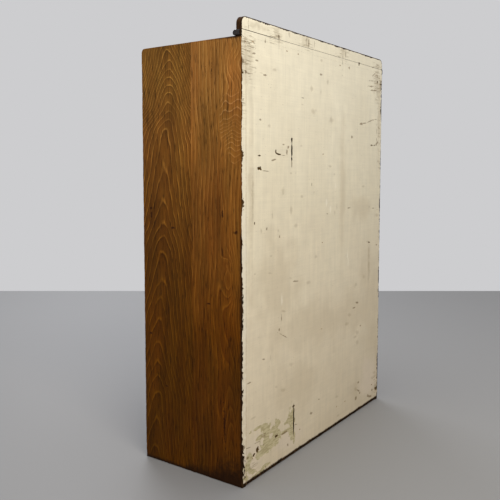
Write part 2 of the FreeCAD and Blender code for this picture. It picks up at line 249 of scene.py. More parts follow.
def stained_oak(name, along, rings, growth=None, board=None, offset=(0, 0, 0), tint=None,
                curly=False):
    """Oak, stained brown and varnished long ago.

    To the eye: pale thin ring lines over brown, dark pores, a satin gloss, darker towards the floor as
    painted shade.
    A curly board also shows the curls and flecks that its fields tell of. growth names the field
    that holds the ring numbers; without it, board says how the wood was sawn.
    """
    material, tree, place = new_material(name)
    if growth is None:
        moved = add(tree, VECTOR, {0: place, 1: bay_offset(tree, place, offset)}, operation="ADD")
        ring_number = plain_sawn_growth(tree, moved, along, **board)
    else:
        moved = place
        ring_number = add(tree, "ShaderNodeAttribute", {}, out="Fac", attribute_name=growth)
    up = add(tree, "ShaderNodeSeparateXYZ", {0: place}, out="Z")
    faded = 0.1 if curly else 0.48
    dulled = add(tree, RANGE, {0: up, 1: 150.0, 2: 560.0, 3: faded, 4: 0.0}) if tint else 0.0
    colour, height = ring_wood(tree, moved, along, ring_number, rings, dulled=dulled)
    if curly:
        curl_number = add(tree, "ShaderNodeAttribute", {}, out="Fac", attribute_name="curl_growth")
        curls, _ = ring_wood(tree, moved, along, curl_number, CURL_RINGS)
        curl = spread_mask(tree, "curl", 14.0, 0.4, 0.7, 1.6, 0.8)
        colour = add(tree, MIX, {0: curl, 6: colour, 7: curls}, out=2, **COLOUR)
        dash = mottle(tree, place, (1.8, 1.8, 16.0), 1.0, (9, 2, 4))
        dash = add(tree, RANGE, {0: dash, 1: 0.58, 2: 0.66, 3: 0.0, 4: 0.5}, **SMOOTH)
        fleck = spread_mask(tree, "fleck", 20.0, 0.4)
        dash = add(tree, MATH, {0: dash, 1: fleck}, operation="MULTIPLY")
        colour = add(tree, MIX, {0: dash, 6: colour, 7: linear("#4a2c10")}, out=2, **COLOUR)
    warm = mottle(tree, place, axis_sizes(along, 55.0, 240.0), 3.0, (15, 83, 37))
    warm = add(tree, RANGE, {0: warm, 1: 0.35, 2: 0.65})
    warm = add(tree, MIX, {0: warm, 6: linear("#fff5ec"), 7: linear("#f5f8f0")}, out=2, **COLOUR)
    colour = add(tree, VECTOR, {0: colour, 1: warm}, operation="MULTIPLY")
    if tint:
        # Painted shade: with a tint, the colour darkens towards the floor.
        cloud = mottle(tree, place, (60.0, 60.0, 90.0), 3.0, (5, 33, 71))
        level = add(tree, MATH, {0: cloud, 1: 120.0, 2: up}, operation="MULTIPLY_ADD")
        level = add(tree, MATH, {0: level, 1: 1 / 1060}, operation="MULTIPLY")
        floor_shade = add(tree, "ShaderNodeValToRGB", {0: level}, stops=tint)
        colour = add(tree, VECTOR, {0: colour, 1: floor_shade}, operation="MULTIPLY")
    if growth:
        # Dirt along the painted edge, the painted shadow of the bead along the top, and darkening at the
        # foot.
        grime_and_shade = spread_mask(tree, "grime_and_shade", 9.0, 0.3, 0.45, 1.75, 0.9)
        colour = add(tree, MIX, {0: grime_and_shade, 6: colour, 7: linear("#221207")}, out=2, **COLOUR)
        knot = spread_mask(tree, "knot", 5.0, 0.5, 0.7, 1.5, 0.85)
        colour = add(tree, MIX, {0: knot, 6: colour, 7: linear("#2a1105")}, out=2, **COLOUR)
    gloss = mottle(tree, place, (35.0, 35.0, 35.0), 4.0)
    roughness = add(tree, RANGE, {0: gloss, 1: 0.3, 2: 0.7, 3: 0.45, 4: 0.6})
    finish_surface(tree, colour, roughness, height, 0.12, Specular_IOR_Level=0.06)
    return material


def bare_wood(name, along, rings, board, offset=(0, 0, 0), stained_front=False):
    """Unfinished drawer and carcass wood.

    To the eye: dry, matt, pale boards with soft ring lines and grey dust in the low places. A
    stained front shows brown stain brushed over the edges between the drawers.
    """
    material, tree, place = new_material(name)
    moved = add(tree, VECTOR, {0: place, 1: bay_offset(tree, place, offset)}, operation="ADD")
    growth = plain_sawn_growth(tree, moved, along, **board)
    colour, height = ring_wood(tree, moved, along, growth, rings, pore_strength=0.2, flame=0.07)
    dust = mottle(tree, place, (70.0, 70.0, 70.0), 4.0, (8, 3, 1))
    dust = add(tree, RANGE, {0: dust, 1: 0.5, 2: 0.75, 3: 0.0, 4: 0.35}, **SMOOTH)
    colour = add(tree, MIX, {0: dust, 6: colour, 7: linear("#8b7a60")}, out=2, **COLOUR)
    if stained_front:
        back = add(tree, "ShaderNodeSeparateXYZ", {0: place}, out="Y")
        back = add(tree, MATH, {0: dust, 1: 14.0, 2: back}, operation="MULTIPLY_ADD")
        bare = add(tree, RANGE, {0: back, 1: FRONT_Y + 16.0, 2: FRONT_Y + 26.0}, **SMOOTH)
        tint = add(tree, MIX, {0: bare, 6: linear("#a2823c"), 7: linear("#ffffff")}, out=2, **COLOUR)
        colour = add(tree, VECTOR, {0: colour, 1: tint}, operation="MULTIPLY")
    roughness = add(tree, RANGE, {0: dust, 1: 0.0, 2: 0.35, 3: 0.62, 4: 0.78})
    finish_surface(tree, colour, roughness, height, 0.15, Specular_IOR_Level=0.12)
    return material


def dusty_joint_and_shade(name):
    """Softwood inside an open joint of the back, near-black with dust and with the painted shade of the
    deep slot.

    To the eye: a black slot with a little brown on its sides.
    """
    material, tree, place = new_material(name)
    dust = mottle(tree, place, (3.0, 3.0, 9.0), 3.0)
    # Near-black colour: dust, and the shade deep in the slot painted in.
    colour = add(tree, MIX, {0: dust, 6: linear("#190e05"), 7: linear("#38240f")}, out=2, **COLOUR)
    finish_surface(tree, colour, add(tree, RANGE, {0: dust, 3: 0.8, 4: 0.95}), dust, 0.2,
                   Specular_IOR_Level=0.02)
    return material


# ---- Paint --------------------------------------------------------------------------------------
# Marks on the back, as above, but across is the distance from the right side.
CHIPS = [
    (67.5, 706.4, 8.5, 4, -3), (66, 734.8, 5, 1.6, 0), (133.1, 744.6, 2.6, 4.2, 0),
    (142.6, 739.7, 9.5, 1.8, -6), (48, 586.1, 1.7, 2.4, 0), (202.4, 774.9, 3.4, 4.6, 0),
    (202.4, 729.7, 2.6, 4, 0), (644.2, 774.2, 5, 2, 0), (666.9, 774.9, 3, 1.7, 0),
    (556.6, 996.6, 6, 3.6, 0), (637.8, 490.4, 7, 1.7, -10), (46, 59.8, 4.2, 4.4, -20),
    (59.9, 67.9, 6, 6, -30), (138.7, 72.9, 6.5, 3.2, -5), (217.5, 122.9, 6, 2.6, 0),
    (8, 910.1, 9, 4, 10), (-2.1, 987.8, 5, 3, 0), (0, 736.8, 4, 9.5, 0), (1, 631.5, 6, 12.5, 0),
    (0, 653.8, 4, 1.6, 0), (-1.5, 856.2, 3, 4, 0), (6.1, 92.6, 8.5, 5.5, -30),
    (144.2, 1003.6, 2.2, 4.4, 0), (701, 36, 12, 7, 12), (703, 950, 7, 26, 0),
    (678.3, 958.9, 3, 3.6, 0), (4.1, 264.6, 6, 6, 0), (2.1, 158.8, 5, 2, -30), (-1, 448.8, 5, 4, 0),
]
SCRATCHES = [
    (88, 701.1, 17, 1.3, -4), (164.1, 736.9, 11, 0.9, -2), (124.1, 726.2, 8, 1.8, 8),
    (149.9, 548.1, 3, 4.4, 10), (96, 570.5, 3.4, 4, 0), (298, 666.2, 1.5, 4, 0),
    (181.1, 743, 3.2, 7, 0), (186.1, 755.9, 4, 2.6, 20), (165.1, 762.2, 6, 1.8, 0),
    (202.5, 714.3, 2.6, 12, 0), (379.8, 588.8, 6, 1.8, -5), (503.6, 598.1, 9.5, 1.8, -2),
    (655, 774.3, 14, 1.3, 0), (682, 781.9, 10, 3.6, 30), (516.1, 793.8, 5, 4.4, 10),
    (341.4, 943, 7, 2.6, 0), (250.2, 876.7, 5.5, 1.8, 0), (70, 813.9, 4.2, 2.4, 0),
    (497.5, 977.8, 1.8, 5, 0), (456.5, 968.6, 1.1, 54, 0), (473.6, 1012.5, 1.2, 11, 0),
    (266.4, 1009.3, 1.2, 12, 0), (278.4, 1010.4, 2.6, 11, 0), (305.5, 1013.5, 1, 10, 0),
    (186.8, 1016.8, 1, 5, 0), (190.8, 1015.8, 0.9, 5, 0), (25, 1009.9, 1.1, 12, 0),
    (145.2, 993.6, 1.6, 14, 0), (574.1, 832, 10, 3.4, 0), (596.1, 835.1, 16, 2, 6),
    (626, 841.7, 20, 1.4, 15), (662.7, 849.4, 24, 1.1, 8), (644.8, 959.3, 28, 1.5, 4),
    (644.7, 943.8, 35, 1.9, 5), (655.5, 932.9, 26, 2.2, 5), (650.3, 999.6, 12, 1.3, 10),
    (655.7, 992.7, 14, 1.3, 8), (677.2, 974.9, 2.6, 4.6, 0), (677.3, 989.8, 2, 4, 0),
    (678.8, 807.7, 1.3, 36, 0), (655.7, 979.7, 14, 1.6, 30), (44, 953.6, 8, 1.9, 5),
    (21, 956, 20, 1, 5), (24, 974.9, 38, 1.2, 2), (26, 909.2, 16, 1.1, 2), (56.1, 940.3, 5, 1.8, 0),
    (88.1, 912.6, 7, 1.7, 3), (1, 932.9, 6, 12, 0), (88.1, 986.3, 2.6, 4, 0), (36, 966, 26, 1, -4),
    (10, 449.9, 6.5, 3.6, 20), (6, 483.6, 2.4, 2.8, 0), (223.8, 433, 11, 1.9, -6),
    (150.8, 327.6, 3.8, 4, 0), (166.8, 310.3, 20, 1.3, -27), (159.8, 352.9, 2.2, 9, 0),
    (688.3, 478.3, 5, 2.8, 0), (560.7, 324, 9, 3, -10), (541.8, 312, 9, 2.2, -5),
    (584.4, 252.5, 5, 2.6, -15), (576, 85.6, 8, 2.8, -5), (587.8, 51.6, 4, 3.6, 0),
    (575.9, 62.4, 13, 2.4, -25), (561.9, 43.5, 7, 5, 0), (190.5, 33.8, 5, 3, -45),
    (343, 103.1, 4, 2.4, -10), (304.1, 77.1, 8, 3.4, -12), (83.9, 70.5, 4, 1.4, 0),
    (85.9, 96.2, 9, 1.2, -6), (83.9, 92.2, 10, 1.2, -6), (87.8, 88.3, 9, 1.2, -6),
    (60.9, 85.1, 12, 1.3, -2), (227.4, 72.6, 6, 1.6, -15), (175.6, 69.2, 14, 3, 0),
    (23, 62.1, 5, 3, 0), (26, 232.2, 8, 1.5, 0), (22, 84.9, 12, 1, -8), (659.7, 590.1, 9, 1.6, -4),
    (694.2, 584.4, 10, 1.3, -3), (670.6, 37.4, 7, 4, 0), (652.3, 23.5, 14, 4, -20),
    (93.8, 14.3, 2, 4, 0), (4, 786.6, 12, 0.9, 0), (8, 571.9, 2.4, 3.4, 0),
    (83.9, 272.1, 5, 1.6, -10),
]
SMUDGES = [
    (140, 1008, 18, 16, 0), (268, 1014, 24, 12, 0), (462, 1012, 22, 12, 0), (60, 1014, 30, 8, 0),
    (210, 92, 9, 30, 0), (74, 566.4, 3, 6, 0), (199, 695.4, 5, 2, 0), (221, 695.5, 3.5, 2, 0),
    (309.9, 646.4, 3.6, 3.4, 0), (221.9, 568.4, 8, 4.6, 0), (246.1, 761.3, 6, 2.6, 0),
    (249, 638.1, 6, 3.6, 0), (144, 562.9, 3.6, 3, 0), (38, 659.5, 3.4, 3.4, 0),
    (394, 712.5, 9, 2.6, 0), (416.9, 691.8, 6, 2.8, 0), (634.9, 595, 5, 2.4, 0),
    (686.5, 568.5, 14, 4.6, 3), (591.6, 655.2, 8, 4, 0), (421.7, 588.6, 3, 9, 0),
    (432.7, 604.5, 3, 9, 0), (50, 473, 5, 2.4, 0), (114, 506.2, 5, 2.4, 0),
    (107.9, 467.4, 17, 2.2, -10), (200.8, 443.3, 7, 3.4, -20), (171.8, 367.8, 12, 2.6, -15),
    (112.8, 270.4, 3, 9, 0), (322.7, 482.8, 7, 4.6, 0), (284.6, 420.1, 9, 4.6, 0),
    (623.8, 493.8, 8, 2.4, -8), (551.9, 376.4, 12, 6.4, 0), (499.8, 274.1, 12, 5, -10),
    (514.8, 296, 9, 5, -10), (601.9, 392.6, 9, 6, 0), (565.5, 237.1, 13, 7, -10),
    (552.5, 226.1, 11, 3.6, 0), (565.4, 207.4, 9, 7, 0), (559, 71.1, 9, 6, -20),
    (444.6, 81.1, 9, 3.6, -10), (454.4, 25, 8, 4, 0), (684.8, 86.8, 10, 4.6, -10),
    (666.4, 75.8, 9, 4.6, -10), (167.7, 176.8, 13, 4.4, -18), (136.8, 192.4, 5.6, 3.6, 0),
    (203.6, 231.5, 9, 6, 0), (42, 147.2, 9, 2.6, 0), (105.1, 802.1, 7, 3.6, 0),
    (341.4, 977.9, 6, 3, 0), (294.3, 902.9, 7, 7, 0), (341.3, 900.2, 2.6, 9, 0),
    (376.4, 927.3, 4.6, 7, 0), (306.2, 848.2, 12, 7, 0), (396.2, 832.8, 12, 7, 0),
    (250.2, 860.8, 5.6, 1.9, 0), (71.1, 915.4, 9, 1.6, 0), (126.2, 928.7, 9, 4, 10),
    (201, 606, 5, 12, 0), (120, 600.5, 3, 9, 0), (164, 652.4, 6, 9, 0), (637.6, 430.5, 7.5, 62, 0),
    (677.2, 952, 22, 40, 0), (16, 938, 24, 50, 0), (41, 639.7, 4, 60, 0), (693, 862.5, 10, 120, 0),
]
OLD_COAT = [
    (20, 40, 16, 10, -30), (14, 18, 12, 6, -20), (62, 11, 22, 4, 0), (96, 18, 20, 4, 0),
    (28, 58, 9, 13, 0), (67.9, 117.8, 40, 3, 0), (85.9, 112, 17, 9, 0), (93.8, 79.5, 25, 32, -8),
    (139.7, 80.8, 22, 28, 12), (113.8, 67.8, 18, 24, 0), (177.6, 71.2, 22, 4.4, 0),
    (191.5, 92, 14, 7, 0), (207.5, 84.3, 13, 42, -3), (217.4, 48.8, 7, 17, 0),
    (69.9, 93.1, 14, 6, 0), (67.9, 53.6, 16, 10, 0), (36, 25.7, 22, 6, -20),
    (711.5, 32.8, 16, 9, 0),
]
# Pale marks: the short upright streaks are painted highlights; the last one lightens the side's painted
# edge.
RUBS_AND_HIGHLIGHTS = [
    (375.8, 618.1, 4.4, 12.5, 0), (396.8, 598.3, 4.2, 12.5, 0), (425.8, 660.1, 3.2, 8, 0),
    (498.3, 469.1, 3.4, 14, 0), (503.2, 447.4, 3, 12, 0), (160.8, 397.4, 4, 14, 0),
    (8, 420, 12, 420, 0),
]
HOLES = [
    (78.9, 80.3, 7, 8, 0), (114.8, 81.6, 6, 6, -40), (155.6, 89.8, 6, 7, 0),
]
STAINS = [
    (582, 596, 60, 34, 0), (553, 261, 40, 20, 20), (562, 66, 24, 34, 0), (634, 426, 14, 90, 0),
    (464, 644, 16, 190, 0), (326, 305, 240, 60, -6), (514, 305, 90, 60, 30), (696, 165, 13, 165, 0),
    (146, 425, 90, 120, 20), (246, 166, 120, 60, -8), (695, 950, 10, 26, 0), (35, 620, 9, 300, 0),
    (655, 320, 90, 130, 0),
]
PRIMER = [
    (34, 56, 44, 50, 0), (200, 44, 60, 24, 0), (650, 84, 60, 60, 0),
]
SCUFFS = [
    (18, 945, 32, 60, 0), (680, 955, 30, 62, 0), (130, 1002, 30, 24, 0), (6, 830, 9, 60, 0),
    (700, 800, 12, 90, 0), (680, 1010, 30, 13, 0), (30, 24, 40, 22, -10), (690, 50, 24, 40, 0),
    (460, 1010, 40, 16, 0), (270, 1010, 40, 16, 0),
]
PAINT_MARKS = {"chip": CHIPS, "scratch": SCRATCHES, "smudge": SMUDGES, "old_coat": OLD_COAT,
               "rub": RUBS_AND_HIGHLIGHTS, "stain": STAINS, "primer": PRIMER, "scuff": SCUFFS}

# Least and most width of bare wood along the right, left, top and bottom edge of the back. Along the
# bottom the dark band is painted shade of the gap under the back.
EDGE_LOSS_AND_FOOT_SHADE = ((0.5, 6.8), (1.2, 9.0), (2.3, 5.0), (9.5, 12.0))


def edge_wear_and_foot_shade(tree, place):
    """How far the paint is rubbed off towards the edges of the back: 1 where it is gone. At the foot the
    dark band is painted shade of the gap under the back.
    """
    parts = add(tree, "ShaderNodeSeparateXYZ", {0: place}, out=None)
    across, up = parts.outputs["X"], parts.outputs["Z"]
    chip = mottle(tree, place, (4.0, 4.0, 9.0), 4.0)
    patch = mottle(tree, place, (30.0, 30.0, 60.0), 2.0, (31, 7, 19))
    worn = add(tree, MATH, {0: chip, 1: patch}, operation="ADD")
    right = add(tree, MATH, {0: OUTER_X, 1: across}, operation="SUBTRACT")
    handled = add(tree, RANGE, {0: up, 1: 540.0, 2: 585.0, 3: 1.0, 4: 2.2}, **SMOOTH)
    right = add(tree, MATH, {0: right, 1: handled}, operation="MULTIPLY")
    kicked = add(tree, RANGE, {0: up, 1: 60.0, 2: 110.0, 3: 0.25, 4: 1.0}, **SMOOTH)
    right = add(tree, MATH, {0: right, 1: kicked}, operation="MULTIPLY")
    left = add(tree, MATH, {0: OUTER_X, 1: across}, operation="ADD")
    top = add(tree, MATH, {0: TOP_Z, 1: up}, operation="SUBTRACT")
    masks = []
    # The bottom entry paints the shade of the gap under the back.
    for gap, (least, most) in zip((right, left, top, up), EDGE_LOSS_AND_FOOT_SHADE):
        bare = add(tree, RANGE, {0: worn, 1: 0.92, 2: 1.25, 3: least, 4: most})
        share = add(tree, MATH, {0: gap, 1: bare}, operation="DIVIDE")
        masks.append(add(tree, RANGE, {0: share, 1: 0.85, 2: 1.1, 3: 1.0, 4: 0.0}))
    total = masks[0]
    for mask in masks[1:]:
        total = add(tree, MATH, {0: total, 1: mask}, operation="MAXIMUM")
    return total


def aged_oil_paint(name):
    """Cream oil paint, brushed on softwood boards and left to yellow for a century.

    To the eye: chalky cream, darker and browner towards the floor and darker towards the far side, all
    painted shade, faint upright board grain, chips down to dark wood, an older olive coat where the top
    one has flaked, bare wood along the edges, and a dark band of painted shade along the foot.
    """
    material, tree, place = new_material(name)
    parts = add(tree, "ShaderNodeSeparateXYZ", {0: place}, out=None)
    cloud = mottle(tree, place, (150.0, 150.0, 210.0), 4.0)
    patches = mottle(tree, place, (34.0, 34.0, 26.0), 5.0, (3, 50, 11))
    drips = mottle(tree, place, (12.0, 12.0, 90.0), 3.0, (61, 3, 8))
    grain = mottle(tree, place, (3.0, 3.0, 150.0), 3.0)
    strokes = mottle(tree, place, (90.0, 90.0, 3.2), 3.0, (7, 2, 5))
    # Painted shade: the cream is darker and browner towards the floor.
    level = add(tree, MATH, {0: cloud, 1: 420.0, 2: parts.outputs["Z"]}, operation="MULTIPLY_ADD")
    tone = add(tree, RANGE, {0: level, 1: 150.0, 2: 1150.0})
    stops = [(0.0, "#cabb9f"), (0.35, "#dacdb2"), (0.7, "#e2d8bd"), (1.0, "#ede5cc")]
    colour = add(tree, "ShaderNodeValToRGB", {0: tone}, stops=stops)
    # Painted shade: darker towards the far side; the noise bands below are the paint's own tone.
    shade = add(tree, RANGE, {0: parts.outputs["X"], 1: -OUTER_X, 2: OUTER_X, 3: 0.82, 4: 1.0})
    for noise, depth in ((patches, 0.035), (drips, 0.03), (grain, 0.032), (strokes, 0.024)):
        band = add(tree, RANGE, {0: noise, 1: 0.3, 2: 0.7, 3: 1 - depth, 4: 1 + depth})
        shade = add(tree, MATH, {0: shade, 1: band}, operation="MULTIPLY")
    colour = add(tree, VECTOR, {0: colour, "Scale": shade}, operation="SCALE")

    speck = mottle(tree, place, (4.5, 4.5, 3.4), 2.0, (40, 9, 2))
    speck = add(tree, RANGE, {0: speck, 1: 0.71, 2: 0.77, 3: 0.0, 4: 0.5}, **SMOOTH)
    streak = mottle(tree, place, (16.0, 16.0, 2.6), 4.0, (2, 8, 6))
    streak = add(tree, RANGE, {0: streak, 1: 0.42, 2: 0.58})
    olive = add(tree, MIX, {0: streak, 6: linear("#b9ae88"), 7: linear("#9a8f66")}, out=2, **COLOUR)
    stain = spread_mask(tree, "stain", 55.0, 0.5, 0.5, 1.7, 0.35)
    # Pale streaks, partly painted highlights.
    rub = spread_mask(tree, "rub", 12.0, 0.4, 0.8, 1.6, 0.5)
    primer = spread_mask(tree, "primer", 40.0, 0.6, 0.6, 1.6, 0.45)
    smudge = spread_mask(tree, "smudge", 14.0, 0.6, 0.6, 1.8, 0.3)
    scuff = spread_mask(tree, "scuff", 24.0, 0.5, 0.6, 1.7, 0.7)
    dry = mottle(tree, place, (28.0, 28.0, 2.4), 3.0, (12, 4, 9))
    dry = add(tree, RANGE, {0: dry, 1: 0.53, 2: 0.62}, **SMOOTH)
    scuff = add(tree, MATH, {0: scuff, 1: dry}, operation="MULTIPLY")
    coat = spread_mask(tree, "old_coat", 14.0, 0.55, 0.85, 1.1, 0.85)
    scratch = spread_mask(tree, "scratch", 9.0, 0.6, 0.8, 1.5, 0.7)
    chip = spread_mask(tree, "chip", 5.0, 0.5, 0.85, 1.15)
    # Bare wood at the worn edges, and along the foot a dark band of painted shade.
    edge = edge_wear_and_foot_shade(tree, place)
    wood = mottle(tree, place, (3.0, 3.0, 20.0), 3.0, (5, 5, 5))
    wood = add(tree, "ShaderNodeValToRGB", {0: wood},
               stops=[(0.32, "#140d07"), (0.5, "#24180c"), (0.7, "#45301c")])
    layers = ((stain, linear("#b3a386")), (primer, linear("#cdbeab")), (rub, linear("#e9e2d0")),
              (speck, linear("#7d6a4c")), (smudge, linear("#8a7757")), (scuff, linear("#8a7a5c")),
              (coat, olive), (scratch, linear("#6a5431")), (chip, linear("#4f3d22")), (edge, wood))
    for mask, tone in layers:
        colour = add(tree, MIX, {0: mask, 6: colour, 7: tone}, out=2, **COLOUR)

    loss = add(tree, MATH, {0: chip, 1: edge}, operation="MAXIMUM")
    loss = add(tree, MATH, {0: coat, 1: 0.6, 2: loss}, operation="MULTIPLY_ADD")
    relief = add(tree, MATH, {0: grain, 1: strokes}, operation="ADD")
    height = add(tree, MATH, {0: loss, 1: -1.5, 2: relief}, operation="MULTIPLY_ADD")
    roughness = add(tree, RANGE, {0: patches, 1: 0.3, 2: 0.7, 3: 0.52, 4: 0.68})
    sheen = add(tree, RANGE, {0: loss, 1: 0.0, 2: 1.0, 3: 0.35, 4: 0.02})
    finish_surface(tree, colour, roughness, height, 0.12, Specular_IOR_Level=sheen)
    return material


def ebonised_beech(name):
    """Bead of the top, stained black and polished.

    To the eye: glossy near-black with brown rubbing along its nose.
    """
    material, tree, place = new_material(name)
    rub = mottle(tree, place, (60.0, 5.0, 4.0), 4.0)
    rub = add(tree, RANGE, {0: rub, 1: 0.56, 2: 0.74}, **SMOOTH)
    colour = add(tree, MIX, {0: rub, 6: linear("#120c08"), 7: linear("#4b2c14")}, out=2, **COLOUR)
    roughness = add(tree, RANGE, {0: rub, 3: 0.22, 4: 0.5})
    finish_surface(tree, colour, roughness, rub, 0.08)
    return material


def aged_brass(name):
    """Cast and stamped brass, lacquer long gone.

    To the eye: warm yellow metal, browner in blotches, satin where fingers have not polished it.
    """
    material, tree, place = new_material(name)
    patina = mottle(tree, place, (14.0, 14.0, 14.0), 3.0)
    tarnish = add(tree, RANGE, {0: patina, 1: 0.32, 2: 0.80}, **SMOOTH)
    stops = [(0.0, "#c39c56"), (0.55, "#a5803f"), (1.0, "#77592f")]
    colour = add(tree, "ShaderNodeValToRGB", {0: tarnish}, stops=stops)
    grit = mottle(tree, place, (1.2, 1.2, 1.2), 3.0)
    roughness = add(tree, RANGE, {0: tarnish, 3: 0.3, 4: 0.48})
    finish_surface(tree, colour, roughness, grit, 0.03, Metallic=1.0)
    return material


def rusty_iron(name):
    """Cut nails under the paint.

    To the eye: small cream-grey heads with rust bleeding through.
    """
    material, tree, place = new_material(name)
    rust = mottle(tree, place, (3.5, 3.5, 3.5), 4.0)
    stops = [(0.40, "#c9bb9c"), (0.52, "#9a7f58"), (0.62, "#5d3d20")]
    colour = add(tree, "ShaderNodeValToRGB", {0: rust}, stops=stops)
    roughness = add(tree, RANGE, {0: rust, 3: 0.6, 4: 0.9})
    finish_surface(tree, colour, roughness, rust, 0.1)
    return material


# ---- Shapes -------------------------------------------------------------------------------------
RING_DEPTH = 7.0                # through the thickness of a board its rings are this far apart


class Shape:
    """Points in millimetres, faces, a material slot for each face and a growth value per point."""

    def __init__(self):
        self.points = []
        self.faces = []
        self.slots = []
        self.growth = []

    def add_points(self, points, growth=None):
        """Add points and return their numbers."""
        first = len(self.points)
        self.points += [tuple(point) for point in points]
        self.growth += list(growth) if growth is not None else [0.0] * len(points)
        return list(range(first, len(self.points)))

    def add_face(self, corners, slot=0):
        """Add a face whose corners are numbers of points."""
        self.faces.append(tuple(corners))
        self.slots.append(slot)

    def add_band(self, first, second, slot=0):
        """Add the faces between two equally long rings; slot may be a function of the step."""
        count = len(first)
        for i in range(count):
            j = (i + 1) % count
            chosen = slot(i) if callable(slot) else slot
            self.add_face((first[i], first[j], second[j], second[i]), chosen)


def finished_piece(name, shape, materials, nodes, fields):
    """A mesh object of the case, in metres, that stands for nodes and carries the named fields."""
    mesh = bpy.data.meshes.new(name)
    mesh.from_pydata([[v * MM for v in point] for point in shape.points], [], shape.faces)
    for material in materials:
        mesh.materials.append(material)
    mesh.polygons.foreach_set("material_index", shape.slots)
    for field, values in fields.items():
        layer = mesh.attributes.new(field, "FLOAT", "POINT")
        layer.data.foreach_set("value", np.array(values, np.float32))
    mesh.validate()
    mesh.update()
    piece = bpy.data.objects.new(name, mesh)
    bpy.context.scene.collection.objects.link(piece)
    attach(piece, "case")
    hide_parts(*nodes)
    return piece


def along_edges(corners, step):
    """The closed outline through the corners with a point at least every step."""
    points = []
    for (u0, v0), (u1, v1) in zip(corners, corners[1:] + corners[:1]):
        count = max(1, ceil(hypot(u1 - u0, v1 - v0) / step))
        points += [(u0 + (u1 - u0) * i / count, v0 + (v1 - v0) * i / count) for i in range(count)]
    return points


def arc(centre, radius, start, end, count):
    """Points on an arc, from start to end in degrees."""
    angles = [radians(start + (end - start) * i / count) for i in range(count + 1)]
    return [(centre[0] + radius * cos(a), centre[1] + radius * sin(a)) for a in angles]


def drawn_in(outline, amount):
    """A convex outline that runs anticlockwise, moved inwards; amount is one width per point."""
    points = np.array(outline)
    before = points - np.roll(points, 1, axis=0)
    after = np.roll(points, -1, axis=0) - points
    normals = []
    for edge in (before, after):
        length = np.hypot(edge[:, 0], edge[:, 1])[:, None]
        normals.append(np.stack([-edge[:, 1], edge[:, 0]], axis=1) / length)
    middle = normals[0] + normals[1]
    middle /= np.sum(middle * normals[0], axis=1)[:, None]
    return points + middle * np.array(amount)[:, None]


def inside(points, outline):
    """Which points lie inside a polygon."""
    u, v = points[:, 0], points[:, 1]
    found = np.zeros(len(points), bool)
    for (u0, v0), (u1, v1) in zip(outline, list(outline[1:]) + [outline[0]]):
        crosses = (v0 > v) != (v1 > v)
        at = u0 + (v - v0) * (u1 - u0) / (v1 - v0 if v1 != v0 else 1.0)
        found ^= crosses & (u < at)
    return found


def nearness(points, marks):
    """2 in the middle of the nearest mark, 1 on its outline and 0 from twice its size outwards."""
    near = np.zeros(len(points))
    for across, up, length, width, tilt in marks:
        c, s = cos(radians(tilt)), sin(radians(tilt))
        du, dv = points[:, 0] - across, points[:, 1] - up
        reach = np.hypot((c * du + s * dv) / length, (c * dv - s * du) / width)
        near = np.maximum(near, 2.0 - reach)
    return near


def mark_points(marks, count=6, reach=1.7):
    """Extra points of the mesh in and round each mark, closer together for a smaller mark."""
    lattice = np.linspace(-reach, reach, 2 * count + 1)
    local = np.stack(np.meshgrid(lattice, lattice), axis=-1).reshape(-1, 2)
    local = local[np.hypot(local[:, 0], local[:, 1]) <= reach]
    found = [np.zeros((0, 2))]
    for across, up, length, width, tilt in marks:
        c, s = cos(radians(tilt)), sin(radians(tilt))
        du, dv = local[:, 0] * length, local[:, 1] * width
        found.append(np.stack([across + c * du - s * dv, up + s * du + c * dv], axis=1))
    return np.concatenate(found)


def face_mesh(loops, holes, step, extra):
    """Points and triangles that fill a convex outline around its holes, in its own plane.

    loops holds the outline and the holes, and extra more points to use. Also returns the number
    of each loop point.
    """
    rim = loops[0]
    low, high = rim.min(0), rim.max(0)
    counts = np.maximum(1, np.round((high - low) / step)).astype(int)
    us = np.linspace(low[0], high[0], counts[0] + 1)
    vs = np.linspace(low[1], high[1], counts[1] + 1)
    grid = np.stack(np.meshgrid(us, vs), axis=-1).reshape(-1, 2)
    grid = grid[inside(grid, drawn_in(rim, np.full(len(rim), 0.5 * step)))]
    extra = extra[inside(extra, drawn_in(rim, np.full(len(rim), 0.3)))]
    grid = np.unique(np.round(np.concatenate([grid, extra]), 1), axis=0)
    keep = np.ones(len(grid), bool)
    for hole in holes:
        keep &= ~inside(grid, hole)
    edges = []
    first = 0
    for loop in loops:
        edges += [(first + i, first + (i + 1) % len(loop)) for i in range(len(loop))]
        first += len(loop)
    flat = [Vector(p) for p in np.concatenate(loops + [grid[keep]])]
    points, _, faces, origins, _, _ = delaunay_2d_cdt(flat, edges, [], 1, 1e-5)
    points = np.array([p[:] for p in points])
    centres = np.array([points[list(face)].mean(0) for face in faces])
    solid = np.ones(len(faces), bool)
    for hole in holes:
        solid &= ~inside(centres, hole)
    kept = []
    for face, wanted in zip(faces, solid):
        if not wanted:
            continue
        a, b, c = points[list(face)[:3]]
        turn = (b[0] - a[0]) * (c[1] - a[1]) - (b[1] - a[1]) * (c[0] - a[0])
        kept.append(list(face) if turn > 0 else list(face)[::-1])
    number = {old: new for new, olds in enumerate(origins) for old in olds}
    return points, kept, number


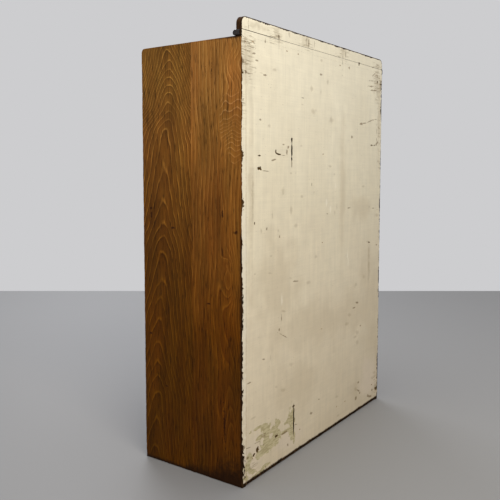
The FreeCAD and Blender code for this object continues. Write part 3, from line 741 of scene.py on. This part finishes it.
def worn_board(shape, outline, thickness, place, wear, step, edge_slot, face_slot=0, under_slot=0,
               pockets=(), pocket_slot=0, growth=None, marks=(), relief=None, sunk=0.0):
    """A board with eased edges, its shown face meshed finely enough to carry growth rings.

    outline runs anticlockwise in the plane (u, v) of the face, and place(u, v, depth) gives the
    point. wear is the width of the eased edge at (u, v). pockets are (outline, depth) hollows in
    the face. edge_slot is the material slot of the edge at (u, v). The mesh is finer round the
    marks; relief gives the depth of the face at its points, and sunk holds all of it back.
    """
    widths = np.array([wear(u, v) for u, v in outline])
    holes = [np.array(hole) for hole, _ in pockets]
    loops = [drawn_in(outline, widths)] + holes
    flat, faces, number = face_mesh(loops, holes, step, mark_points(marks))

    def put(points, depths):
        """Add points of the face at their depths, with the ring numbers that they have there."""
        rows = growth(np.array(points)) + np.array(depths) / RING_DEPTH if growth else None
        return shape.add_points([place(*p, d) for p, d in zip(points, depths)], rows)

    top = put(flat, sunk + (relief(flat) if relief else np.zeros(len(flat))))
    for face in faces:
        shape.add_face([top[i] for i in face], face_slot)
    under_widths = np.minimum(widths, 1.0)
    rings = [[top[number[i]] for i in range(len(outline))]]
    rings.append(put(outline, sunk + widths))
    rings.append(put(outline, thickness - under_widths))
    rings.append(put(drawn_in(outline, under_widths), [thickness] * len(outline)))
    middles = (np.array(outline) + np.roll(np.array(outline), -1, axis=0)) / 2
    slots = [edge_slot(u, v) for u, v in middles]
    for near, far in zip(rings, rings[1:]):
        shape.add_band(far, near, slots.__getitem__)
    shape.add_face(rings[-1][::-1], under_slot)
    first = len(outline)
    for hole, depth in pockets:
        rim = [top[number[first + i]] for i in range(len(hole))]
        floor = put(hole, [depth] * len(hole))
        shape.add_band(rim, floor, pocket_slot)
        shape.add_face(floor, pocket_slot)
        first += len(hole)


# ---- Growth of the two sides --------------------------------------------------------------------
# Heights at which the rings of the near side's front board reach the top of their arches, and
# how far the arches stand from the painted edge there.
ARCH_TOPS = [
    1012, 992, 973, 949, 929, 913, 896, 878, 854, 835, 816, 796, 697, 623, 573, 544, 508, 439, 394,
    341, 287, 240, 206, 168, 97, 30, -30,
]
ARCH_PLACES = [
    (1000, 212), (973, 211), (949, 206), (835, 206), (816, 211), (796, 217), (697, 223), (573, 228),
    (508, 229), (439, 233), (341, 244), (240, 249), (168, 250), (97, 257), (0, 261),
]
# Heights of the pale lines of the curls beside the painted edge of the rear board.
CURL_TOPS = [
    876, 862, 847, 830, 814, 806, 800, 793, 783, 776, 768, 757, 746, 734, 720, 706,
]


def steps(z, table):
    """Value at each z of a table of (z, value) given from the top down."""
    heights, values = zip(*table[::-1])
    return np.interp(z, heights, values)


def hill(u, v, centre, size):
    """A round hill one high."""
    return np.exp(-((u - centre[0]) / size[0]) ** 2 - ((v - centre[1]) / size[1]) ** 2)


def ripple(u, v, length_u, length_v, phase):
    """Gentle waves, to keep arches from being too regular."""
    first = np.sin(2 * pi * (v / length_v + 0.7 * u / length_u) + phase)
    second = np.sin(2 * pi * (u / length_u - 0.4 * v / length_v) + 1.7 * phase)
    return 0.5 * (first + second)


def front_board_growth(points):
    """Tall arches; points are (distance from the painted edge, z)."""
    t, z = points[:, 0], points[:, 1]
    count = np.interp(z, ARCH_TOPS[::-1], np.arange(len(ARCH_TOPS), 0, -1.0))
    off = t - steps(z, ARCH_PLACES)
    depth = steps(z, [(1000, 25), (835, 27), (816, 25), (796, 17), (735, 19), (600, 21), (0, 22)])
    width = steps(z, [(1000, 6.2), (850, 6.4), (760, 12.0), (600, 12.0), (400, 11.0), (0, 10.0)])
    width = width * np.where(off > 0, 1.15, 0.95)
    spread = (np.hypot(off, depth) - depth) / width
    return 200.0 + count - spread + 0.10 * ripple(t, z, 37.0, 61.0, 0.4)


def rear_board_growth(points):
    """Straight lines with rings above the curls, a swirl and low arches beside the painted edge."""
    t, z = points[:, 0], points[:, 1]
    sway = 5.0 * np.sin(2 * pi * z / 640.0 + 0.6) + 3.0 * np.sin(2 * pi * z / 230.0)
    lines = (t + sway) / 10.5
    window = np.clip((z - 855.0) / 20.0, 0.0, 1.0) * np.clip((985.0 - z) / 25.0, 0.0, 1.0)
    ring = 1.15 * window * np.sin(2 * pi * (z - 30.0) / 92.0) * hill(t, 0.0, (20, 0), (22, 1))
    swirl = 4.4 * hill(t, z, (33, 462), (20, 56)) + 1.2 * hill(t, z, (50, 612), (16, 50))
    streaks = 0.5 * hill(t, z, (48, 495), (16, 20)) * np.sin(2 * pi * z / 7.0)
    arches = 7.0 * hill(t, z, (24, 60), (26, 220))
    return 100.0 + lines + ring + swirl + streaks + arches


def curl_growth(points):
    """Ring numbers of the curls: nearly level wavy lines."""
    t, z = points[:, 0], points[:, 1]
    lift = 6.0 * np.clip((t - 38.0) / 12.0, 0.0, 1.5) ** 2
    level = z - 4.5 * np.sin(2 * pi * (t / 38.0 + z / 170.0)) + lift
    return np.interp(level, CURL_TOPS[::-1], np.arange(len(CURL_TOPS), 0, -1.0))


def curl_field(points):
    """How curly the rear board is: 2 in the middle of the curls, 1 at their outline."""
    t, z = points[:, 0], points[:, 1]
    reach = steps(z, [(890, 50), (850, 62), (780, 58), (745, 40), (700, 22)])
    across = np.minimum(t + 2.0, reach - t) / 8.0
    upwards = np.minimum(z - 712.0, 868.0 - z) / 16.0
    return np.clip(1.0 + np.minimum(across, upwards), 0.0, 2.0)


def fleck_field(points):
    """Where short dark flecks gather on the rear board."""
    return 1.5 * hill(points[:, 0], points[:, 1], (102, 800), (26, 120))


def grime_and_shade_field(points):
    """Darkening of a side: 1 at its outline, 2 at the very edge. Along the painted edge it is dirt from
    hands, along the top the painted shadow of the bead, and at the foot darker towards the floor.
    """
    t, z = points[:, 0], points[:, 1]
    # Darker towards the floor, most near the painted edge.
    foot = 1.9 - z / np.interp(t, [40, 85, 145, 165], [60, 24, 21, 8])
    handled = (2.0 - t / 5.0) * np.clip((585.0 - z) / 25.0, 0.0, 1.0)
    # Painted shadow of the bead along the top, strongest near the back.
    top = (2.0 - (CASE_TOP - z) / 4.0) * np.interp(t, [30, 75, 291], [1.0, 0.55, 0.4])
    return np.clip(np.max([foot, handled, top], axis=0), 0.0, 2.0)


def far_board_growth(points):
    """Arches of the far side, sawn from another part of the log."""
    t, z = points[:, 0], points[:, 1]
    heart = np.where(t > REAR_BOARD, 205.0, 62.0) + 14.0 * np.sin(2 * pi * z / 900.0)
    spread = (np.hypot(t - heart, 24.0) - 24.0) / 9.5
    turn = np.where(t > REAR_BOARD, 1.0, -1.0)
    return 300.0 + turn * z / 46.0 - spread + 0.12 * ripple(t, z, 41.0, 83.0, 1.1)


# ---- Case ---------------------------------------------------------------------------------------
SIDE_MESH = 6.0                 # spacing of the mesh points that carry the fields
BACK_MESH = 12.0
MARK_WRAP = 3.0                 # how far the marks on the back go round its edges
PAINT_SUNK = 0.12               # the painted face lies this far below the heads of the nails
CHIP_DEPTH = 0.7
SHAKE_DEPTH = 1.2
SLIT_DEPTHS = (7.5, 6.5)        # the two places where a joint of the back gapes


def arris_wear(u, v):
    """Width of an eased edge, wider where hands and floors have worn it."""
    worn = sin(0.043 * v + 0.7) + sin(0.117 * v + 0.05 * u) + sin(0.31 * v + 0.9 * u)
    return 0.9 + 0.18 * worn + 1.0 * (v < 12.0)


def seam_wear(seam):
    """As arris_wear, but hardly any along the glued seam at u = seam."""
    return lambda u, v: 0.35 if abs(u - seam) < TOUCH else arris_wear(u, v)


def paint_fields(points):
    """The fields that the paint on the back reads, at points of the cabinet."""
    flat = np.stack([OUTER_X - points[:, 0], points[:, 2]], axis=1)
    behind = points[:, 1] > BACK_Y - MARK_WRAP
    fields = {field: nearness(flat, marks) * behind for field, marks in PAINT_MARKS.items()}
    fields["old_coat"] *= nearness(flat, HOLES) < 0.9
    return fields


def marks_from_behind(marks):
    """Marks given from the right side, as marks in the plane of a board seen from behind."""
    return [(across - OUTER_X, *rest) for across, *rest in marks]


def shake_depth(points):
    """Depth of the splits in the near side."""
    return SHAKE_DEPTH * (nearness(points, SIDE_SHAKES) > 1.0)


def side_boards(name, node, sign, materials, growths, marks=()):
    """Both boards of one side, the rear one painted on its back edge."""
    shape = Shape()
    thickness = OUTER_X - INNER_X

    def place(u, v, depth):
        """Point of the cabinet at (u, v) of the side and a depth below its face."""
        return (sign * (OUTER_X - depth), sign * u, v)

    def from_back(points):
        """The same points as (distance from the painted edge, z)."""
        return np.stack([BACK_Y - sign * points[:, 0], points[:, 1]], axis=1)

    top = CASE_TOP
    corner = (FRONT_Y + CORNER_RADIUS, top - CORNER_RADIUS)
    front = [(FRONT_Y, 0.0), (SEAM_Y, 0.0), (SEAM_Y, top)] + arc(corner, CORNER_RADIUS, 90, 180, 6)
    rear = [(SEAM_Y, 0.0), (BACK_Y, 0.0), (BACK_Y, top), (SEAM_Y, top)]
    for slot, (corners, growth) in enumerate(zip((front, rear), growths)):
        corners = [(sign * y, z) for y, z in corners][::sign]
        painted = 2 if slot == 1 else 0
        worn_board(
            shape, along_edges(corners, SIDE_MESH), thickness, place, seam_wear(sign * SEAM_Y),
            SIDE_MESH, face_slot=slot, under_slot=slot,
            edge_slot=lambda u, v: painted if painted and abs(sign * u - BACK_Y) < TOUCH else slot,
            growth=lambda points: growth(from_back(points)),
            marks=marks, relief=shake_depth if marks else None,
        )
    points = np.array(shape.points)
    flat = np.stack([BACK_Y - points[:, 1], points[:, 2]], axis=1)
    fields = paint_fields(points)
    fields["growth"] = shape.growth
    fields["grime_and_shade"] = grime_and_shade_field(flat)
    if marks:
        fields["knot"] = nearness(points[:, 1:], marks)
        fields["curl"] = curl_field(flat)
        fields["curl_growth"] = curl_growth(flat)
        fields["fleck"] = fleck_field(flat)
    return finished_piece(name, shape, materials, [node], fields)


def ragged_slit(x_top, z_top, x_foot, z_foot, widths, jag):
    """Outline of an open joint in the back, anticlockwise as seen from behind."""
    count = len(widths) - 1
    left, right = [], []
    for i, width in enumerate(widths):
        share = i / count
        x = x_top + (x_foot - x_top) * share + jag * sin(2.3 * i)
        z = z_top + (z_foot - z_top) * share
        left.append((-x - width / 2, z))
        right.append((-x + width / 2, z))
    return left + right[::-1]


def back_wear(u, v):
    """Width of the eased edge of the back: sharp under the bead and hardly eased at the sides."""
    if v > BACK_HIGH[2] - TOUCH:
        return 0.05
    return 0.12 if abs(u) > BACK_HIGH[0] - TOUCH else 0.5


def painted_back(materials):
    """The boards of the back under one skin of paint, with the two places where a joint gapes."""
    shape = Shape()
    corners = [(-BACK_HIGH[0], BACK_LOW[2]), (BACK_HIGH[0], BACK_LOW[2]),
               (BACK_HIGH[0], BACK_HIGH[2]), (-BACK_HIGH[0], BACK_HIGH[2])]
    gap = ragged_slit(OUTER_X - 202.6, 779, OUTER_X - 202.5, 724,
                      [3.0, 6.6, 3.4, 1.6, 5.6, 6.2, 6.0, 6.4, 5.6, 2.0, 5.4, 2.2], 0.3)
    crack = ragged_slit(OUTER_X - 218.0, 130, OUTER_X - 217.2, 47,
                        [0.8, 2.0, 4.2, 5.6, 4.6, 6.0, 5.0, 5.6, 4.0, 2.6, 1.0], 0.8)
    every_mark = marks_from_behind([mark for marks in PAINT_MARKS.values() for mark in marks])
    chips = marks_from_behind(CHIPS)
    worn_board(
        shape, along_edges(corners, BACK_MESH), BACK_HIGH[1] - BACK_LOW[1],
        lambda u, v, depth: (-u, BACK_HIGH[1] - depth, v), back_wear, BACK_MESH,
        edge_slot=lambda u, v: 1, under_slot=1, pockets=list(zip((gap, crack), SLIT_DEPTHS)),
        pocket_slot=2, sunk=PAINT_SUNK, marks=every_mark,
        relief=lambda points: CHIP_DEPTH * (nearness(points, chips) > 1.0),
    )
    fields = paint_fields(np.array(shape.points))
    return finished_piece("painted_back", shape, materials, ["back_boards"], fields)


def upstand_rail(materials):
    """Board along the rear of the top, its ends rounded over and its arrises rubbed."""
    shape = Shape()
    half, low, high, radius = OUTER_X, UPSTAND_LOW[2], UPSTAND_HIGH[2], UPSTAND_RADIUS
    right = arc((half - radius, high - radius), radius, 0, 90, 8)
    left = arc((radius - half, high - radius), radius, 90, 180, 8)
    outline = along_edges([(-half, low), (half, low)] + right + left, 14.0)

    def wear(u, v):
        """Width of the eased edge, rubbed more towards the right end of the foot."""
        if v < low + TOUCH:
            return 0.8 + 0.6 * (half + u < 120.0)
        return 1.1 + 0.3 * sin(0.09 * u) + 0.2 * sin(0.41 * u)

    worn_board(
        shape, outline, UPSTAND_HIGH[1] - UPSTAND_LOW[1],
        lambda u, v, depth: (-u, UPSTAND_HIGH[1] - depth, v), wear, SIDE_MESH,
        edge_slot=lambda u, v: 1, under_slot=1,
        marks=marks_from_behind([mark for mark in CHIPS + SCRATCHES if mark[1] > 960.0]),
    )
    fields = paint_fields(np.array(shape.points))
    return finished_piece("upstand_rail", shape, materials, ["upstand"], fields)


def bead_moulding(materials):
    """Round-nosed bead whose ends are rounded over; its flat back is painted with the back."""
    shape = Shape()
    nose = (BEAD_HIGH[2] - BEAD_LOW[2]) / 2
    middle = (BEAD_LOW[1] + nose, BEAD_LOW[2] + nose)
    profile = [(BEAD_HIGH[1], BEAD_LOW[2]), (BEAD_HIGH[1], BEAD_HIGH[2])]
    profile += arc(middle, nose, 90, 270, 12)
    rounding = ((0.0, 2.6), (0.5, 1.3), (1.4, 0.4), (2.6, 0.0))
    rings = [(BEAD_HIGH[0] - inset, amount) for inset, amount in rounding]
    ends = [(-x, amount) for x, amount in rings[::-1]]
    rings += [(x, 0.0) for x in np.arange(OUTER_X - 1.0, -OUTER_X, -3.0)] + ends
    numbers = []
    for x, amount in rings:
        amounts = np.full(len(profile), amount)
        points = [(x, y, z) for y, z in drawn_in(profile, amounts)]
        numbers.append(shape.add_points(points))
    for near, far in zip(numbers, numbers[1:]):
        shape.add_band(near, far, lambda i: 1 if i == 0 else 0)
    shape.add_face(numbers[0][::-1])
    shape.add_face(numbers[-1])
    fields = paint_fields(np.array(shape.points))
    return finished_piece("bead_moulding", shape, materials, ["upstand_bead"], fields)


# ---- Fittings of the drawers --------------------------------------------------------------------
SCREW_HEAD = 4.4                # width of the slotted screws that hold a card frame
SCREW_HEIGHT = 1.0
SCREW_SLOT = 0.8
NUT_WIDTH = 9.0                 # square nut of the knob's bolt, inside the drawer
NUT_HEIGHT = 3.2
BOLT_WIDTH = 4.0
BOLT_LENGTH = 5.5
CARD_SCREW_SPACING = 58.0
CARD_FRAME_Z = 71.8             # above the floor of the bay
KNOB_Z = 35.8
CARD_FRAME_FACE = 2.4           # in front of the drawer front
FRONT_THICKNESS = 16.0
FRONT_GAP = 1.2                 # between the floor of a bay and its drawer front
SCREW_CROWN = 0.55              # width at the top of each fitting as a share of its full width
NUT_CROWN = 0.9
BOLT_CROWN = 0.8
NUT_CORNER = 0.7071             # from the middle of the nut to its corner as a share of its width
SLOT_LIFT = 1.1                 # height of the slot's cutter as a share of the screw's height
SLOT_TURN = 0.9                 # radians that a slot is turned either way, at most


def fittings_tree(brass):
    """Node tree that sets a slotted screw head or a square nut with its bolt on each point."""
    tree = bpy.data.node_groups.new("drawer_fittings", "GeometryNodeTree")
    face = tree.interface
    face.new_socket("Geometry", in_out="INPUT", socket_type="NodeSocketGeometry")
    for name in ("Screw width", "Screw height", "Slot width", "Nut width", "Nut height",
                 "Bolt width", "Bolt length"):
        face.new_socket(name, in_out="INPUT", socket_type="NodeSocketFloat")
    face.new_socket("Geometry", in_out="OUTPUT", socket_type="NodeSocketGeometry")
    given = add(tree, "NodeGroupInput", {}, out=None).outputs

    half_width = add(tree, MATH, {0: given["Screw width"], 1: 0.5}, operation="MULTIPLY")
    crown = add(tree, MATH, {0: half_width, 1: SCREW_CROWN}, operation="MULTIPLY")
    head = add(tree, "GeometryNodeMeshCone", {"Vertices": 16, "Side Segments": 1, "Fill Segments": 1,
               "Radius Top": crown, "Radius Bottom": half_width, "Depth": given["Screw height"]})
    slot_size = add(tree, "ShaderNodeCombineXYZ", {"X": given["Screw width"], "Y": given["Slot width"],
                    "Z": given["Screw height"]})
    cutter = add(tree, "GeometryNodeMeshCube", {"Size": slot_size})
    lift = add(tree, MATH, {0: given["Screw height"], 1: SLOT_LIFT}, operation="MULTIPLY")
    lift = add(tree, "ShaderNodeCombineXYZ", {"Z": lift})
    cutter = add(tree, "GeometryNodeTransform", {"Geometry": cutter, "Translation": lift})
    screw = add(tree, "GeometryNodeMeshBoolean", {"Mesh 1": head, "Mesh 2": cutter},
                operation="DIFFERENCE", solver="EXACT")

    half_nut = add(tree, MATH, {0: given["Nut width"], 1: NUT_CORNER}, operation="MULTIPLY")
    nut_top = add(tree, MATH, {0: half_nut, 1: NUT_CROWN}, operation="MULTIPLY")
    nut = add(tree, "GeometryNodeMeshCone", {"Vertices": 4, "Radius Top": nut_top,
              "Radius Bottom": half_nut, "Depth": given["Nut height"]})
    half_bolt = add(tree, MATH, {0: given["Bolt width"], 1: 0.5}, operation="MULTIPLY")
    tip = add(tree, MATH, {0: half_bolt, 1: BOLT_CROWN}, operation="MULTIPLY")
    bolt = add(tree, "GeometryNodeMeshCone", {"Vertices": 12, "Radius Top": tip,
               "Radius Bottom": half_bolt, "Depth": given["Bolt length"]})
    join = add(tree, "GeometryNodeJoinGeometry", {}, out=None)
    for part in (bolt, nut):
        tree.links.new(part, join.inputs["Geometry"])

    towards = add(tree, "GeometryNodeInputNamedAttribute", {"Name": "towards"},
                  data_type="FLOAT_VECTOR")
    turn = add(tree, "FunctionNodeAlignRotationToVector", {"Vector": towards}, axis="Z")
    spin = add(tree, "FunctionNodeRandomValue", {2: -SLOT_TURN, 3: SLOT_TURN, "Seed": 7}, out=1,
               data_type="FLOAT")
    spin = add(tree, "ShaderNodeCombineXYZ", {"Z": spin})
    spin = add(tree, "FunctionNodeEulerToRotation", {0: spin})
    turned = add(tree, "FunctionNodeRotateRotation", {"Rotation": turn, "Rotate By": spin},
                 rotation_space="LOCAL")
    is_nut = add(tree, "GeometryNodeInputNamedAttribute", {"Name": "nut"}, data_type="BOOLEAN")
    all_set = add(tree, "GeometryNodeJoinGeometry", {}, out=None)
    is_screw = add(tree, "FunctionNodeBooleanMath", {0: is_nut}, operation="NOT")
    for chosen, part, rotation in ((is_nut, join.outputs[0], turn), (is_screw, screw, turned)):
        links = {"Points": given["Geometry"], "Selection": chosen, "Instance": part,
                 "Rotation": rotation}
        placed = add(tree, "GeometryNodeInstanceOnPoints", links)
        tree.links.new(placed, all_set.inputs["Geometry"])
    real = add(tree, "GeometryNodeRealizeInstances", {"Geometry": all_set.outputs[0]})
    done = add(tree, "GeometryNodeSetMaterial", {"Geometry": real, "Material": brass})
    add(tree, "NodeGroupOutput", {"Geometry": done}, out=None)
    return tree


def drawer_fittings(drawer, tree):
    """Screws of one drawer's card frame and the nut behind its knob, as one mesh."""
    low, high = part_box(drawer + "_front")
    middle = (low.x + high.x) / 2
    floor = low.z - FRONT_GAP * MM
    face = low.y - CARD_FRAME_FACE * MM
    rear = low.y + FRONT_THICKNESS * MM
    half = CARD_SCREW_SPACING / 2 * MM
    frame_z = floor + CARD_FRAME_Z * MM
    points = [(middle - half, face, frame_z), (middle + half, face, frame_z),
              (middle, rear, floor + KNOB_Z * MM)]
    seed = bpy.data.meshes.new(drawer + "_points")
    seed.from_pydata(points, [], [])
    towards = seed.attributes.new("towards", "FLOAT_VECTOR", "POINT")
    towards.data.foreach_set("vector", [0, -1, 0, 0, -1, 0, 0, 1, 0])
    seed.attributes.new("nut", "BOOLEAN", "POINT").data.foreach_set("value", [False, False, True])
    maker = bpy.data.objects.new(drawer + "_maker", seed)
    bpy.context.scene.collection.objects.link(maker)
    modifier = maker.modifiers.new("fittings", "NODES")
    modifier.node_group = tree
    sizes = {"Screw width": SCREW_HEAD, "Screw height": SCREW_HEIGHT, "Slot width": SCREW_SLOT,
             "Nut width": NUT_WIDTH, "Nut height": NUT_HEIGHT, "Bolt width": BOLT_WIDTH,
             "Bolt length": BOLT_LENGTH}
    for item in tree.interface.items_tree:
        if item.in_out == "INPUT" and item.name in sizes:
            modifier[item.identifier] = sizes[item.name] * MM
    graph = bpy.context.evaluated_depsgraph_get()
    mesh = bpy.data.meshes.new_from_object(maker.evaluated_get(graph), depsgraph=graph)
    bpy.data.objects.remove(maker)
    mesh.name = drawer + "_fittings"
    piece = bpy.data.objects.new(drawer + "_fittings", mesh)
    bpy.context.scene.collection.objects.link(piece)
    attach(piece, drawer)
    return piece


# ---- Finishes on the parts ----------------------------------------------------------------------
def dress(node, material):
    """Give a CAD node its finish."""
    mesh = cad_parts[node].data
    mesh.materials.clear()
    mesh.materials.append(material)


def dress_cabinet():
    """All the finishes, the pieces that stand for CAD nodes, and the finish of every other node."""
    paint = aged_oil_paint("aged_oil_paint")
    near_front = stained_oak("stained_oak_near_front_board", "Z", CASE_RINGS, growth="growth",
                             tint=FRONT_TINT_AND_SHADE)
    near_rear = stained_oak("stained_oak_near_rear_board", "Z", REAR_RINGS, growth="growth",
                            tint=REAR_TINT_AND_SHADE, curly=True)
    far = stained_oak("stained_oak_far_side", "Z", CASE_RINGS, growth="growth", tint=FRONT_TINT_AND_SHADE)
    far_rear = stained_oak("stained_oak_far_rear_board", "Z", REAR_RINGS, growth="growth",
                           tint=REAR_TINT_AND_SHADE)
    lengthways = {"across": "Y", "heart": 60.0, "depth": 30.0, "taper": 0.055, "spacing": 8.5}
    top = stained_oak("stained_oak_top", "X", CASE_RINGS, board=lengthways)
    edge = stained_oak("stained_oak_handled_edge", "X", EDGE_RINGS, board=lengthways)
    upright = {"across": "Z", "heart": 40.0, "depth": 24.0, "taper": 0.10, "spacing": 7.0}
    fronts = stained_oak("stained_oak_drawer_front", "X", FRONT_RINGS, board=upright,
                         offset=(900.0, 0.0, 90.0), tint=FRONT_TINT_AND_SHADE)
    rails = stained_oak("stained_oak_rail", "X", FRONT_RINGS, board=dict(upright, taper=0.02),
                        offset=(900.0, 0.0, 300.0), tint=FRONT_TINT_AND_SHADE)
    pine = {"across": "X", "heart": 0.0, "depth": 40.0, "taper": 0.05, "spacing": 9.0}
    trays = bare_wood("bare_pine_tray", "Y", TRAY_RINGS, board=pine, offset=(200.0, 700.0, 200.0))
    carcass = bare_wood("bare_pine_carcass", "Y", CARCASS_RINGS, board=dict(pine, across="Z"),
                        stained_front=True)
    black = ebonised_beech("ebonised_beech")
    brass = aged_brass("aged_brass")

    side_boards("side_right_boards", "side_right", 1, [near_front, near_rear, paint],
                (front_board_growth, rear_board_growth), SIDE_KNOTS + SIDE_SHAKES)
    side_boards("side_left_boards", "side_left", -1, [far, far_rear, paint],
                (far_board_growth, far_board_growth))
    painted_back([paint, carcass, dusty_joint_and_shade("dusty_joint_and_shade")])
    upstand_rail([paint, edge])
    bead_moulding([black, paint])

    dress("top_board", top)
    dress("bottom_board", carcass)
    dress("centre_partition", carcass)
    dress("drawer_runners", carcass)
    dress("front_rails", rails)
    dress("plinth", rails)
    dress("back_nails", rusty_iron("rusty_iron"))
    tree = fittings_tree(brass)
    for drawer in DRAWERS:
        dress(drawer + "_front", fronts)
        dress(drawer + "_tray", trays)
        dress(drawer + "_pull", brass)
        drawer_fittings(drawer, tree)


# ---- Floor, light and camera --------------------------------------------------------------------
CAMERA_PLACE = (1498.7, 985.4, 705.5)
CAMERA_YAW = 0.9560             # radians from -Y towards -X
CAMERA_PITCH = -4.5             # degrees
CAMERA_LENS = 47.62             # on a sensor 36 mm wide
CAMERA_SHIFT = -0.058
FLOOR_WIDTH = 4.0               # metres; one edge lies square behind the cabinet
SURROUND = "#cdcdcf"
# Name, place and target in metres, size in metres, watts and colour of each soft box.
LIGHTS = (
    ("key", (1.5, 2.1, 2.35), (0.0, 0.1, 0.65), 1.3, 54.0, "#fff6e8"),
    ("fill", (-1.6, -2.4, 1.9), (0.0, 0.0, 0.5), 1.8, 42.0, "#f6f8ff"),
    ("top_light", (0.2, 0.1, 2.9), (0.0, 0.0, 0.5), 1.4, 22.0, "#ffffff"),
)


def camera():
    """The scene's camera, turned by its yaw and tilted a little down."""
    data = bpy.data.cameras.new("camera")
    data.sensor_width = 36.0
    data.lens = CAMERA_LENS
    data.shift_y = CAMERA_SHIFT
    eye = bpy.data.objects.new("camera", data)
    bpy.context.scene.collection.objects.link(eye)
    eye.location = [v * MM for v in CAMERA_PLACE]
    pitch = radians(CAMERA_PITCH)
    forward = (-sin(CAMERA_YAW) * cos(pitch), -cos(CAMERA_YAW) * cos(pitch), sin(pitch))
    eye.rotation_mode = "QUATERNION"
    eye.rotation_quaternion = Vector(forward).to_track_quat("-Z", "Y")
    bpy.context.scene.camera = eye


def soft_light(name, place, target, size, power, colour):
    """A square soft box that faces its target; places in metres, power in watts."""
    data = bpy.data.lights.new(name, "AREA")
    data.shape = "SQUARE"
    data.size = size
    data.energy = power
    data.color = linear(colour)[:3]
    light = bpy.data.objects.new(name, data)
    bpy.context.scene.collection.objects.link(light)
    light.location = place
    light.rotation_mode = "QUATERNION"
    light.rotation_quaternion = (Vector(target) - Vector(place)).to_track_quat("-Z", "Y")


def studio():
    """Plain pale floor, an even grey surround and three soft boxes."""
    mesh = bpy.data.meshes.new("floor")
    corners = [quarter * pi / 2 + pi / 4 - CAMERA_YAW for quarter in range(4)]
    reach = FLOOR_WIDTH / 2 * 2 ** 0.5
    mesh.from_pydata([(reach * cos(a), reach * sin(a), 0) for a in corners], [], [(0, 1, 2, 3)])
    floor = bpy.data.objects.new("floor", mesh)
    bpy.context.scene.collection.objects.link(floor)
    material, tree, place = new_material("matt_floor")
    grit = mottle(tree, place, (2.0, 2.0, 2.0))
    colour = add(tree, RANGE, {0: grit, 3: 0.22, 4: 0.25})
    finish_surface(tree, colour, add(tree, RANGE, {0: grit, 3: 0.62, 4: 0.70}), grit, 0.02)
    mesh.materials.append(material)

    world = bpy.data.worlds.new("surround")
    world.use_nodes = True
    background = world.node_tree.nodes["Background"]
    background.inputs["Color"].default_value = linear(SURROUND)
    background.inputs["Strength"].default_value = 1.0
    bpy.context.scene.world = world
    bpy.context.scene.view_settings.view_transform = "Standard"

    for light in LIGHTS:
        soft_light(*light)


dress_cabinet()
studio()
camera()
